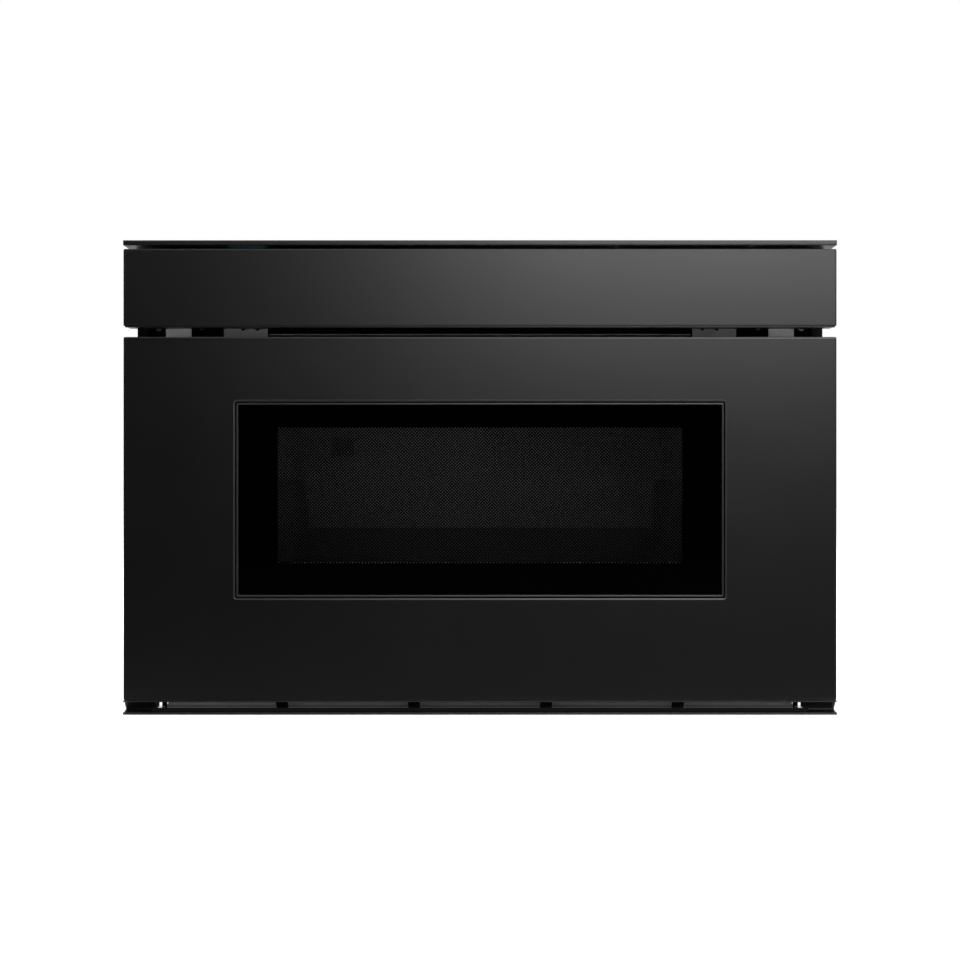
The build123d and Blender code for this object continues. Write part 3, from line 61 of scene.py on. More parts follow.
# Places taken from the frame
DOOR_LOW, DOOR_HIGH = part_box("door_skin")
TRIM_LOW, TRIM_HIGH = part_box("window_trim")
GLASS_LOW, GLASS_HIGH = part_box("window_glass")
SCREEN_LOW, SCREEN_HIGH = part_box("door_screen")
SHELF_LOW, SHELF_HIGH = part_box("ceramic_shelf")
CAVITY_LOW, CAVITY_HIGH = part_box("cavity_shell")
PANEL_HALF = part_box("panel_skin")[1].x
CASE_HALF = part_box("back_panel")[1].x
FLANGE_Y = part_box("front_frame")[0].y
BRACKET_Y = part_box("catch_brackets")[0].y
FACE_Y = DOOR_LOW.y


# Node trees

class Tree:
    """A node tree, with short ways to add what materials and the world share."""

    def __init__(self, tree):
        self.tree = tree

    def node(self, kind, **values):
        """A new node. Each value goes to the input of its name, or else to the node itself."""
        made = self.tree.nodes.new("ShaderNode" + kind)
        for key, value in values.items():
            if key in made.inputs:
                made.inputs[key].default_value = value
            else:
                setattr(made, key, value)
        return made

    def link(self, output, target):
        self.tree.links.new(output, target)

    def parts(self, vector):
        """A vector's X, Y and Z."""
        split = self.node("SeparateXYZ")
        self.link(vector, split.inputs["Vector"])
        return split.outputs

    def ranged(self, value, low=0.0, high=1.0, start=0.3, end=0.7):
        """A value between start and end, spread from low to high."""
        spread = self.node("MapRange")
        self.link(value, spread.inputs["Value"])
        for socket, number in (("From Min", start), ("From Max", end), ("To Min", low), ("To Max", high)):
            spread.inputs[socket].default_value = number
        return spread.outputs["Result"]

    def by_ray(self, seen, mirrored, other):
        """One shader for camera rays, one for mirrored rays and one for the rest."""
        rays = self.node("LightPath")
        shader = other
        for test, chosen in (("Is Glossy Ray", mirrored), ("Is Camera Ray", seen)):
            mix = self.node("MixShader")
            self.link(rays.outputs[test], mix.inputs["Fac"])
            self.link(shader, mix.inputs[1])
            self.link(chosen, mix.inputs[2])
            shader = mix.outputs["Shader"]
        return shader


class Shader(Tree):
    """A Principled material and a few ways to vary it over the surface."""

    def __init__(self, name, colour, roughness, metallic=0.0):
        self.material = bpy.data.materials.new(name)
        self.material.use_nodes = True
        super().__init__(self.material.node_tree)
        self.bsdf = self.tree.nodes["Principled BSDF"]
        self.set("Base Color", (*colour, 1.0))
        self.set("Roughness", roughness)
        self.set("Metallic", metallic)
        self.place = self.node("TexCoord").outputs["Object"]
        self.normal = None

    def set(self, socket, value):
        self.bsdf.inputs[socket].default_value = value

    def stretched(self, scale):
        """The object's coordinates, scaled on each axis, so that a pattern runs along one."""
        mapping = self.node("Mapping", Scale=scale)
        self.link(self.place, mapping.inputs["Vector"])
        return mapping.outputs["Vector"]

    def noise(self, scale, detail=3.0, stretch=(1, 1, 1)):
        texture = self.node("TexNoise", Scale=scale, Detail=detail)
        self.link(self.stretched(stretch), texture.inputs["Vector"])
        return texture.outputs["Fac"]

    def cells(self, scale):
        """The outputs of a pattern of small cells."""
        texture = self.node("TexVoronoi", Scale=scale)
        self.link(self.stretched((1, 1, 1)), texture.inputs["Vector"])
        return texture.outputs

    def vary_colour(self, value, dark, light):
        """Mixes between two colours by a value from 0 to 1."""
        mix = self.node("Mix", data_type="RGBA")
        self.link(value, mix.inputs["Factor"])
        ends = [socket for socket in mix.inputs if socket.type == "RGBA"]
        ends[0].default_value = (*dark, 1.0)
        ends[1].default_value = (*light, 1.0)
        mixed = [socket for socket in mix.outputs if socket.type == "RGBA"][0]
        self.link(mixed, self.bsdf.inputs["Base Color"])

    def vary_roughness(self, value, low, high):
        self.link(self.ranged(value, low, high), self.bsdf.inputs["Roughness"])

    def use_normal(self, normal):
        self.normal = normal
        self.link(normal, self.bsdf.inputs["Normal"])

    def round_edges(self, radius):
        """Shades sharp edges as if they were rounded."""
        self.use_normal(self.node("Bevel", Radius=radius).outputs["Normal"])

    def bump(self, height, distance, strength):
        """Adds relief. Each call adds to the one before."""
        relief = self.node("Bump", Distance=distance, Strength=strength)
        self.link(height, relief.inputs["Height"])
        if self.normal:
            self.link(self.normal, relief.inputs["Normal"])
        self.use_normal(relief.outputs["Normal"])


def shade(colour, by):
    """A colour made lighter or darker by a factor."""
    return tuple(min(1.0, part * by) for part in colour)


# Materials

FOLD_RADIUS = 2.2 * MM                  # how round the black steel's folded edges look
CUT_RADIUS = 0.6 * MM                   # how round the zinc sheet's edges look
BAFFLE_SHADED_EDGE = (24.3 * MM, 27.2 * MM)    # behind the front: where the painted shade along the low edge starts to thin, and ends
BAFFLE_LIT_ENDS = (50.0 * MM, 240.0 * MM)   # from the middle: where the painted light towards the ends starts, and stops


def satin_black(name, rounded):
    """Smooth black steel of the front: a fine even grain, and slightly uneven gloss."""
    black = Shader(name, (0.0003, 0.0003, 0.00033), 0.36)
    black.vary_colour(black.noise(9.0), (0.00025, 0.00025, 0.00028), (0.00035, 0.00035, 0.00038))
    black.vary_roughness(black.noise(14.0), 0.352, 0.37)
    if rounded:
        black.round_edges(FOLD_RADIUS)
    black.bump(black.noise(2600.0, detail=2.0), distance=0.01 * MM, strength=0.25)
    return black.material


def dark_trim():
    """The window's narrow metal frame."""
    trim = Shader("dark_trim", (0.048, 0.048, 0.05), 0.36, metallic=0.85)
    trim.vary_roughness(trim.noise(40.0), 0.33, 0.39)
    return trim.material


def galvanised():
    """Zinc-coated sheet: crystals of slightly different grey, with soft scratches."""
    zinc = Shader("galvanised", (0.3, 0.305, 0.31), 0.48, metallic=0.8)
    tone = zinc.ranged(zinc.cells(120.0)["Color"], start=0.0, end=1.0)
    zinc.vary_colour(tone, (0.25, 0.255, 0.26), (0.35, 0.355, 0.36))
    zinc.vary_roughness(zinc.noise(30.0), 0.44, 0.54)
    zinc.round_edges(CUT_RADIUS)
    zinc.bump(zinc.noise(400.0, detail=4.0), distance=0.04 * MM, strength=0.4)
    zinc.bump(zinc.noise(30.0, detail=4.0, stretch=(1, 12, 1)), distance=0.05 * MM, strength=0.3)
    return zinc.material


def rolling_lines(zinc):
    """Soft lines along X, as a rolling mill leaves them."""
    zinc.bump(zinc.noise(300.0, stretch=(0.15, 1, 1)), distance=0.03 * MM, strength=0.4)


def bare_zinc(name, colour, metallic):
    """Dull zinc-coated plate, with soft rolling lines and stains."""
    zinc = Shader(name, colour, 0.45, metallic)
    stain = zinc.noise(45.0, detail=4.0)
    zinc.vary_colour(zinc.ranged(stain), shade(colour, 0.85), shade(colour, 1.1))
    zinc.vary_roughness(stain, 0.38, 0.52)
    rolling_lines(zinc)
    return zinc.material


def baffle_zinc():
    """The air baffle: dull zinc, with painted shade along its low front edge and painted light towards
    its ends.
    """
    zinc = Shader("baffle_zinc", (0.5, 0.5, 0.5), 0.5, metallic=0.1)
    place = zinc.parts(zinc.place)
    sideways = zinc.node("Math", operation="ABSOLUTE")
    zinc.link(place["X"], sideways.inputs[0])
    front, back = (FACE_Y + depth for depth in BAFFLE_SHADED_EDGE)
    middle, end = BAFFLE_LIT_ENDS
    # Painted shade: darker along the low front edge
    front_shade = zinc.ranged(place["Y"], low=0.3, start=front, end=back)
    # Painted light: paler towards the ends
    pale = zinc.ranged(sideways.outputs["Value"], low=0.72, start=middle, end=end)
    tone = zinc.node("Math", operation="MULTIPLY")
    zinc.link(front_shade, tone.inputs[0])
    zinc.link(pale, tone.inputs[1])
    zinc.vary_colour(tone.outputs["Value"], (0.0, 0.0, 0.0), (0.95, 0.95, 0.94))
    zinc.vary_roughness(zinc.noise(45.0, detail=4.0), 0.42, 0.55)
    rolling_lines(zinc)
    return zinc.material


def matte_black_paint():
    """Powder coat on the parts behind the front."""
    paint = Shader("matte_black_paint", (0.011, 0.011, 0.012), 0.55)
    paint.set("Specular IOR Level", 0.15)
    paint.vary_colour(paint.noise(25.0), (0.009, 0.009, 0.01), (0.014, 0.014, 0.015))
    paint.bump(paint.noise(1400.0), distance=0.04 * MM, strength=0.5)
    return paint.material


def enamel(name, colour):
    """Cavity enamel with fine darker specks."""
    coat = Shader(name, colour, 0.33)
    speck = coat.ranged(coat.cells(900.0)["Distance"], start=0.12, end=0.3)
    coat.vary_colour(speck, shade(colour, 0.55), shade(colour, 1.05))
    coat.vary_roughness(coat.noise(40.0), 0.28, 0.4)
    coat.bump(coat.noise(700.0), distance=0.03 * MM, strength=0.4)
    return coat.material


def rail_steel():
    """Bright zinc-plated runners, shafts and screws, drawn along Y."""
    steel = Shader("rail_steel", (0.6, 0.61, 0.62), 0.3, metallic=1.0)
    lines = steel.noise(220.0, detail=5.0, stretch=(6, 0.12, 6))
    steel.vary_colour(steel.ranged(lines), (0.52, 0.53, 0.55), (0.66, 0.67, 0.68))
    steel.vary_roughness(lines, 0.22, 0.38)
    steel.bump(lines, distance=0.02 * MM, strength=0.3)
    return steel.material


def pane():
    """Clear tempered glass with a grey tint."""
    glass = Shader("pane", (0.55, 0.56, 0.57), 0.0)
    glass.set("Transmission Weight", 1.0)
    glass.set("IOR", 1.5)
    glass.vary_roughness(glass.noise(12.0), 0.0, 0.02)
    return glass.material


def black_glass():
    """The touch glass: black behind a clear gloss."""
    glass = Shader("black_glass", (0.006, 0.006, 0.007), 0.05)
    glass.set("Coat Weight", 1.0)
    glass.set("Coat Roughness", 0.02)
    glass.vary_roughness(glass.noise(20.0), 0.04, 0.09)
    return glass.material


def glass_ceramic():
    """The shelf: pale glass-ceramic, faintly clouded, glossy."""
    ceramic = Shader("glass_ceramic", (0.62, 0.61, 0.57), 0.12)
    ceramic.vary_colour(ceramic.noise(35.0, detail=6.0), (0.56, 0.55, 0.51), (0.68, 0.67, 0.63))
    ceramic.set("Subsurface Weight", 0.15)
    ceramic.set("Subsurface Radius", (4.0 * MM, 4.0 * MM, 3.0 * MM))
    ceramic.vary_roughness(ceramic.noise(50.0), 0.09, 0.17)
    ceramic.bump(ceramic.noise(500.0, detail=2.0), distance=0.02 * MM, strength=0.2)
    return ceramic.material


def mica():
    """The stirrer's cover: layered mica board."""
    board = Shader("mica", (0.5, 0.45, 0.36), 0.5)
    flakes = board.cells(260.0)
    tone = board.ranged(flakes["Color"], start=0.0, end=1.0)
    board.vary_colour(tone, (0.42, 0.37, 0.29), (0.6, 0.55, 0.46))
    board.bump(flakes["Distance"], distance=0.1 * MM, strength=0.3)
    return board.material


def grained(name, colour, roughness, gloss=0.5):
    """Moulded plastic, paint or ink with a fine grain."""
    plastic = Shader(name, colour, roughness)
    plastic.set("Specular IOR Level", gloss)
    plastic.vary_colour(plastic.noise(30.0), shade(colour, 0.9), shade(colour, 1.12))
    plastic.vary_roughness(plastic.noise(60.0), roughness - 0.06, roughness + 0.06)
    plastic.bump(plastic.cells(1500.0)["Distance"], distance=0.05 * MM, strength=0.5)
    return plastic.material


def circuit():
    """Green boards with tinned pads."""
    green = (0.02, 0.12, 0.05)
    board = Shader("circuit", green, 0.35)
    pads = board.cells(320.0)
    pad = board.ranged(pads["Distance"], low=1.0, high=0.0, start=0.1, end=0.14)
    board.vary_colour(pad, green, (0.55, 0.55, 0.5))
    board.bump(pads["Distance"], distance=0.2 * MM, strength=0.4)
    return board.material


def rubber():
    """Dull black rubber."""
    dull = Shader("rubber", (0.02, 0.02, 0.02), 0.75)
    dull.vary_colour(dull.noise(80.0), (0.015, 0.015, 0.015), (0.028, 0.028, 0.028))
    dull.bump(dull.noise(900.0), distance=0.06 * MM, strength=0.6)
    return dull.material


def glowing(name, colour, strength):
    """Light seen through the touch glass."""
    lit = Shader(name, colour, 0.4)
    lit.set("Emission Color", (*colour, 1.0))
    lit.set("Emission Strength", strength)
    lit.vary_roughness(lit.noise(90.0), 0.35, 0.45)
    return lit.material


SLOT_MATERIALS = {
    "black_steel": satin_black("satin_black", rounded=True),
    "trim_metal": dark_trim(),
    "galvanised": galvanised(),
    "frame_paint": matte_black_paint(),
    "cavity_paint": enamel("enamel", (0.4, 0.395, 0.38)),
    "rail_steel": rail_steel(),
    "pane": pane(),
    "shelf_glass": glass_ceramic(),
    "mica": mica(),
    "black_plastic": grained("black_plastic", (0.016, 0.016, 0.017), 0.48),
    "duct_plastic": grained("duct_plastic", (0.5, 0.5, 0.47), 0.5),
    "acetal": grained("acetal", (0.7, 0.69, 0.65), 0.35),
    "circuit": circuit(),
    "rubber": rubber(),
}
Finish = namedtuple("Finish", "material slot")      # a material, and the record's slot it belongs to
SLOTS = {slot: Finish(material, slot) for slot, material in SLOT_MATERIALS.items()}
ROLLED_STEEL = Finish(satin_black("rolled_black", rounded=False), "black_steel")
RIVET_STEEL = Finish(grained("rivet_black", (0.004, 0.004, 0.004), 0.35), "galvanised")
SCREEN_PAINT = Finish(grained("screen_paint", (0.006, 0.006, 0.0062), 0.6, gloss=0.05), "frame_paint")
# Black for the print on the window glass, and for the painted shade in the frame's groove
INK_AND_PAINTED_SHADE = Finish(grained("ink", (0.0008, 0.0008, 0.0008), 0.5, gloss=0.0), "frame_paint")
ARM_PAINT = Finish(grained("arm_paint", (0.003, 0.003, 0.003), 0.6, gloss=0.05), "frame_paint")
BRACKET_ZINC = Finish(bare_zinc("bracket_zinc", (0.4, 0.4, 0.4), 0.2), "galvanised")
PRINT = Finish(grained("white_print", (0.62, 0.63, 0.64), 0.5), "acetal")
GLOW = Finish(glowing("display_glow", (0.5, 0.78, 1.0), 1.2), "acetal")
NODE_MATERIALS = {
    "touch_glass": black_glass(),
    "air_baffle": baffle_zinc(),
    "bumper_plates": bare_zinc("plate_zinc", (0.62, 0.62, 0.61), 0.1),
    "catch_brackets": BRACKET_ZINC.material,
    "hinge_arms": ARM_PAINT.material,
    # A darker copy of the cavity's enamel: painted shade on the tray
    "drawer_tray": enamel("tray_enamel", (0.16, 0.16, 0.156)),
    "front_frame": grained("flange_paint", (0.0018, 0.0018, 0.0018), 0.6, gloss=0.06),
}


def dress_nodes():
    """Gives each CAD node its own material, or else the one of its slot in the record."""
    for part in frame["record"]["subparts"]:
        materials = NODES[part["node"]].data.materials
        materials.clear()
        materials.append(NODE_MATERIALS.get(part["node"], SLOT_MATERIALS[part["material_slot"]]))


# Mesh helpers

CORNER_STEPS = 6
SLAB_SEGMENTS = 2
DOME_RINGS = 4
DOME_TURNS = 12


def placed(made, finish, body):
    """Puts an object in the scene with its finish, on its body."""
    bpy.context.scene.collection.objects.link(made)
    made.data.materials.append(finish.material)
    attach(made, body)
    return made


def piece(name, points, faces, finish, body):
    """A mesh piece that rides on a body."""
    mesh = bpy.data.meshes.new(name)
    mesh.from_pydata([tuple(point) for point in points], [], faces)
    mesh.validate()
    return placed(bpy.data.objects.new(name, mesh), finish, body)


def outward(made):
    """Turns a closed mesh's faces outwards."""
    mesh = bmesh.new()
    mesh.from_mesh(made.data)
    bmesh.ops.recalc_face_normals(mesh, faces=mesh.faces)
    mesh.to_mesh(made.data)
    mesh.free()


def wall(near, far):
    """The faces between two closed loops with as many corners."""
    count = len(near)
    return [(near[step], near[(step + 1) % count], far[(step + 1) % count], far[step])
            for step in range(count)]


def lofted(loops, ring=False):
    """The points and faces through closed loops of points: a ring, or else a solid with two ends."""
    count = len(loops[0])
    points = [point for loop in loops for point in loop]
    rows = [range(first, first + count) for first in range(0, len(points), count)]
    faces = [face for near, far in zip(rows, rows[1:]) for face in wall(near, far)]
    ends = wall(rows[-1], rows[0]) if ring else [rows[0][::-1], rows[-1]]
    return points, faces + [list(end) for end in ends]


def merged(shapes):
    """The points and faces of several shapes as one."""
    points = []
    faces = []
    for shape_points, shape_faces in shapes:
        faces += [[len(points) + corner for corner in face] for face in shape_faces]
        points += shape_points
    return points, faces


def frame_ring(name, outer, inner, y0, y1, finish):
    """A flat rectangular ring on the drawer. Each outline is (x half, z low, z high)."""
    loops = [[(-half, y, low), (half, y, low), (half, y, high), (-half, y, high)]
             for (half, low, high), y in ((outer, y0), (inner, y0), (inner, y1), (outer, y1))]
    return piece(name, *lofted(loops, ring=True), finish, "drawer")


def rounded_outline(half, low, high, radius):
    """Points of a rounded rectangle, as (across, up), from the right side upwards."""
    points = []
    for turn, x, z in ((0, half, high), (1, -half, high), (2, -half, low), (3, half, low)):
        centre_x = x - math.copysign(radius, x)
        centre_z = z + (radius if z == low else -radius)
        for step in range(CORNER_STEPS + 1):
            angle = (turn + step / CORNER_STEPS) * math.pi / 2
            points.append((centre_x + radius * math.cos(angle), centre_z + radius * math.sin(angle)))
    return points


def smooth_ring(name, loops, finish):
    """A smooth-shaded ring on the drawer, through closed loops of points."""
    made = piece(name, *lofted(loops, ring=True), finish, "drawer")
    made.data.polygons.foreach_set("use_smooth", [True] * len(made.data.polygons))
    return made


def slab(name, low, high, edge, finish, body):
    """A box between two corners, with rounded edges of a given radius."""
    mesh = bmesh.new()
    bmesh.ops.create_cube(mesh, size=1.0)
    size = Vector(high) - Vector(low)
    middle = (Vector(high) + Vector(low)) / 2
    bmesh.ops.transform(mesh, matrix=Matrix.Translation(middle) @ Matrix.Diagonal((*size, 1.0)),
                        verts=mesh.verts)
    bmesh.ops.bevel(mesh, geom=mesh.edges[:], offset=edge, segments=SLAB_SEGMENTS, profile=0.5,
                    affect="EDGES")
    mesh.verts.index_update()
    piece(name, [vertex.co for vertex in mesh.verts],
          [[vertex.index for vertex in face.verts] for face in mesh.faces], finish, body)
    mesh.free()


def dome(name, place, radius, finish, body):
    """A small round head that faces the front."""
    points = [Vector(place) + Vector((0.0, -radius, 0.0))]
    rows = []
    for ring in range(1, DOME_RINGS + 1):
        lean = ring / DOME_RINGS * math.pi / 2
        rows.append(range(len(points), len(points) + DOME_TURNS))
        for turn in range(DOME_TURNS):
            angle = math.tau * turn / DOME_TURNS
            out = (math.sin(lean) * math.cos(angle), -math.cos(lean), math.sin(lean) * math.sin(angle))
            points.append(Vector(place) + radius * Vector(out))
    around = [*rows[0], rows[0][0]]
    faces = [(0, following, corner) for corner, following in zip(around, around[1:])]
    faces += [face for near, far in zip(rows, rows[1:]) for face in wall(near, far)]
    outward(piece(name, points, faces + [list(rows[-1])], finish, body))


# The window

MASK_HALF = 172.8 * MM
MASK_LOW = 128.1 * MM
MASK_HIGH = 244.2 * MM
MASK_INSET = 1.0 * MM                   # from the glass's edge to the print
MASK_DEPTH = (0.02 * MM, 0.12 * MM)     # the print's two faces, behind the glass

TRIM_WIDTH = 4.5 * MM
NECK_SIDE = 2.0 * MM                    # the neck's outer side
NECK_DEPTH = 3.0 * MM
TRIM_BACK = 0.05 * MM                   # depth of the trim's back, outside the neck
RIDGE = (0.3 * MM, 1.75 * MM, 0.18 * MM)            # the inner ridge's two sides and its height
RIDGE_FOOT = 0.1 * MM                   # depth of the ridge's inner foot
RIDGE_STEPS = 6
RAMP = ((2.85, 0.0), (3.1, 0.1), (4.1, 0.28), (4.35, 0.32), (4.5, 0.2))     # mm out and proud
GROOVE = (1.75 * MM, 2.9 * MM, 0.05 * MM)           # the groove's two sides, and the height of the black ring that paints its shade
CORNER_INSIDE = 0.4 * MM                # radius of the corners at the window's edge
CORNER_GROWTH = 0.53                    # how fast the corner's radius grows outwards


def window_mask():
    """The black print on the back of the window glass, open in the middle."""
    near, far = (GLASS_HIGH.y + depth for depth in MASK_DEPTH)
    outer = (GLASS_HIGH.x - MASK_INSET, GLASS_LOW.z + MASK_INSET, GLASS_HIGH.z - MASK_INSET)
    frame_ring("window_mask", outer, (MASK_HALF, MASK_LOW, MASK_HIGH), near, far, INK_AND_PAINTED_SHADE)


def trim_section():
    """The frame's section: (distance from the window's edge, depth), from inside to outside."""
    inner, outer, height = RIDGE
    section = [(inner, NECK_DEPTH), (inner, RIDGE_FOOT)]
    for step in range(RIDGE_STEPS + 1):
        angle = math.pi * step / RIDGE_STEPS
        section.append(((inner + outer) / 2 - (outer - inner) / 2 * math.cos(angle),
                        -height * math.sin(angle)))
    section += [(out * MM, -proud * MM) for out, proud in RAMP]
    return section + [(TRIM_WIDTH, 0.0), (NECK_SIDE, TRIM_BACK), (NECK_SIDE, NECK_DEPTH)]


def round_the_window(section):
    """Rounded rectangles round the window, one for each (distance out, depth) of a section."""
    loops = []
    for out, depth in section:
        more = out - TRIM_WIDTH
        outline = rounded_outline(TRIM_HIGH.x + more, TRIM_LOW.z - more, TRIM_HIGH.z + more,
                                  CORNER_INSIDE + CORNER_GROWTH * out)
        loops.append([(x, FACE_Y + depth, z) for x, z in outline])
    return loops


def window_frame():
    """The window's metal frame, and a black ring in its groove that paints the groove's shade."""
    inner, outer, paint = GROOVE
    groove = ((inner, 0.0), (inner, -paint), (outer, -paint), (outer, 0.0))
    metal = smooth_ring("window_frame", round_the_window(trim_section()), SLOTS["trim_metal"])
    # Painted shade: a black ring in the groove
    dark = smooth_ring("trim_groove", round_the_window(groove), INK_AND_PAINTED_SHADE)
    for made in (metal, dark):
        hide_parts("window_trim")


HOLE_PITCH = 2.79 * MM                  # along a row; every other row is shifted by half of it
ROW_PITCH = HOLE_PITCH / 2
HOLE_R = 0.655 * MM
HOLE_SIDES = 8                          # screen_cell joins just as many
HOLE_TURNS = [math.tau * (step + 0.5) / HOLE_SIDES for step in range(HOLE_SIDES)]
HOLE_HALF = 181.0 * MM                  # half the width that has holes
DOTTED_ROW = 127.4 * MM                 # height of the lowest row that shows
ROWS_BELOW = 4
ROWS = 91
SHEET = 0.8 * MM
DOTS_DEPTH = (0.1 * MM, 0.5 * MM)       # the pale strip's two faces, behind the sheet
DOTS_ROUND = 0.1 * MM


def screen_cell(edge, hole):
    """The faces round one hole, from 6 points of its cell and 8 of the hole, both anticlockwise."""
    right_low, right_top, top, left_top, left_low, bottom = edge
    return [
        (right_low, right_top, hole[0], hole[7]), (right_top, top, hole[1], hole[0]),
        (top, hole[2], hole[1]), (top, left_top, hole[3], hole[2]),
        (left_top, left_low, hole[4], hole[3]), (left_low, bottom, hole[5], hole[4]),
        (bottom, hole[6], hole[5]), (bottom, right_low, hole[7], hole[6]),
    ]


def row_end(row, across):
    """The four points of the half cell that a shifted row leaves at one end."""
    first = row * across + (0 if row % 2 else across - 2)
    return [first, first + 1, first + across + 1, first + across]


def perforated_sheet(y0, y1, low):
    """The points and faces of a sheet with staggered rows of holes, and half its width."""
    columns = round(2 * HOLE_HALF / HOLE_PITCH)
    half = (columns + 0.5) * HOLE_PITCH / 2
    across = 2 * columns + 2
    behind = across * (ROWS + 1)
    points = [(-half + step * HOLE_PITCH / 2, y, low + row * ROW_PITCH)
              for y in (y0, y1) for row in range(ROWS + 1) for step in range(across)]
    faces = []
    for row in range(ROWS):
        shift = row % 2
        end = row_end(row, across)
        faces += [end, [behind + corner for corner in reversed(end)]]
        for column in range(columns):
            start = row * across + 2 * column + shift
            above = start + across
            edge = [start + 2, above + 2, above + 1, above, start, start + 1]
            x = -half + (column + (1 + shift) / 2) * HOLE_PITCH
            z = low + (row + 0.5) * ROW_PITCH
            front_hole = range(len(points), len(points) + HOLE_SIDES)
            back_hole = [corner + HOLE_SIDES for corner in front_hole]
            points += [(x + HOLE_R * math.cos(turn), y, z + HOLE_R * math.sin(turn))
                       for y in (y0, y1) for turn in HOLE_TURNS]
            faces += screen_cell(edge, front_hole)
            faces += [face[::-1] for face in screen_cell([behind + e for e in edge], back_hole)]
            faces += wall(front_hole, back_hole)
    return points, faces, half


def perforated_screen():
    """The microwave screen: a perforated sheet, its plain border and its turned edge."""
    y0, y1 = SCREEN_LOW.y, SCREEN_LOW.y + SHEET
    low = DOTTED_ROW - (ROWS_BELOW + 0.5) * ROW_PITCH
    points, faces, half = perforated_sheet(y0, y1, low)
    sheet = piece("screen_sheet", points, faces, SCREEN_PAINT, "drawer")
    inner = (half, low, low + ROWS * ROW_PITCH)
    outer = (SCREEN_HIGH.x, SCREEN_LOW.z, SCREEN_HIGH.z)
    border = frame_ring("screen_border", outer, inner, y0, y1, SCREEN_PAINT)
    edge = (outer[0] - SHEET, outer[1] + SHEET, outer[2] - SHEET)
    rim = frame_ring("screen_rim", outer, edge, y1, SCREEN_HIGH.y, SLOTS["frame_paint"])
    for made in (sheet, border, rim):
        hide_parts("door_screen")


def screen_strip():
    """The pale strip behind the lowest row of holes: painted light, which shows through them as a row of
    bright dots.
    """
    near, far = (SCREEN_LOW.y + SHEET + depth for depth in DOTS_DEPTH)
    # Painted light: a pale strip that lights the lowest row of holes
    slab("screen_strip", (-MASK_HALF, near, DOTTED_ROW - HOLE_R), (MASK_HALF, far, DOTTED_ROW + HOLE_R),
         DOTS_ROUND, SLOTS["acetal"], "drawer")


# The gap over the drawer front, and the air trim under it

STRIP_HALF = 186.0 * MM
STRIP_Z = 327.75 * MM
STRIP_HIGH = 1.0 * MM
STRIP_DEEP = 0.9 * MM
STRIP_ROUND = 0.2 * MM

LIP_HALF = 279.0 * MM
LIP_Z = (0.6 * MM, 5.6 * MM)            # low and high edge
LIP_DEPTH = (1.2 * MM, 2.0 * MM)        # behind the front
TAB_X = (272.6 * MM, 277.0 * MM)
TAB_Z = (0.5 * MM, 3.0 * MM)            # low and high end of a tab's foot
TAB_DEPTH = (26.0 * MM, 27.0 * MM)
LIP_ROUND = 0.2 * MM                    # of the lip and of the tabs
RIVET_X = 275.1 * MM
RIVET_Z = 2.0 * MM
RIVET_R = 0.55 * MM

RIM_INSET = 1.5 * MM
PANEL_RIM = (329.1 * MM, 330.1 * MM)    # low and high edge
VISOR_RIM = (398.8 * MM, 399.5 * MM)
RIM_DEPTH = (0.15 * MM, 1.6 * MM)       # behind the front
RIM_ROUND = 0.15 * MM

CATCH_X = (195.7 * MM, 208.5 * MM)
CATCH_Z = 332.3 * MM
CATCH_R = 1.7 * MM

EDGE_DROP = 0.75 * MM                   # from the door's top down to the rolled edge
EDGE_HIGH = 1.0 * MM
EDGE_INSET = 1.2 * MM
EDGE_PROUD = (0.02 * MM, 0.3 * MM)      # in front of the face, at its top and at its foot
EDGE_ROOT = 0.1 * MM                    # behind the face


def gap_strip():
    """The thin strip on the front frame, in the gap between the catch brackets. Its pale zinc on the
    black frame paints the highlight line that runs there.
    """
    low = (-STRIP_HALF, FLANGE_Y - STRIP_DEEP, STRIP_Z - STRIP_HIGH / 2)
    high = (STRIP_HALF, FLANGE_Y, STRIP_Z + STRIP_HIGH / 2)
    # Pale zinc: a painted highlight line
    slab("gap_strip", low, high, STRIP_ROUND, BRACKET_ZINC, "chassis")


def slot_lip():
    """The air trim's folded lip behind its slots, and the feet and rivets of its end tabs."""
    near, far = (FACE_Y + depth for depth in LIP_DEPTH)
    slab("slot_lip", (-LIP_HALF, near, LIP_Z[0]), (LIP_HALF, far, LIP_Z[1]), LIP_ROUND, ARM_PAINT,
         "chassis")
    near, far = (FACE_Y + depth for depth in TAB_DEPTH)
    for side, sign in SIDES:
        left, right = sorted(sign * x for x in TAB_X)
        slab(f"tab_foot_{side}", (left, near, TAB_Z[0]), (right, far, TAB_Z[1]), LIP_ROUND, ARM_PAINT,
             "chassis")
        dome(f"tab_rivet_{side}", (sign * RIVET_X, near, RIVET_Z), RIVET_R, SLOTS["acetal"], "chassis")


def rims():
    """The hemmed low edges of the control panel and of the visor over it."""
    near, far = (FACE_Y + depth for depth in RIM_DEPTH)
    half = PANEL_HALF - RIM_INSET
    for name, (low, high), body in (("panel_rim", PANEL_RIM, "control_panel"),
                                    ("visor_rim", VISOR_RIM, "chassis")):
        slab(name, (-half, near, low), (half, far, high), RIM_ROUND, ROLLED_STEEL, body)


def catch_rivets():
    """The dark rivets near the upper edge of each catch bracket."""
    for place, x in enumerate(CATCH_X):
        for side, sign in SIDES:
            dome(f"catch_rivet_{side}_{place + 1}", (sign * x, BRACKET_Y, CATCH_Z), CATCH_R,
                 RIVET_STEEL, "chassis")


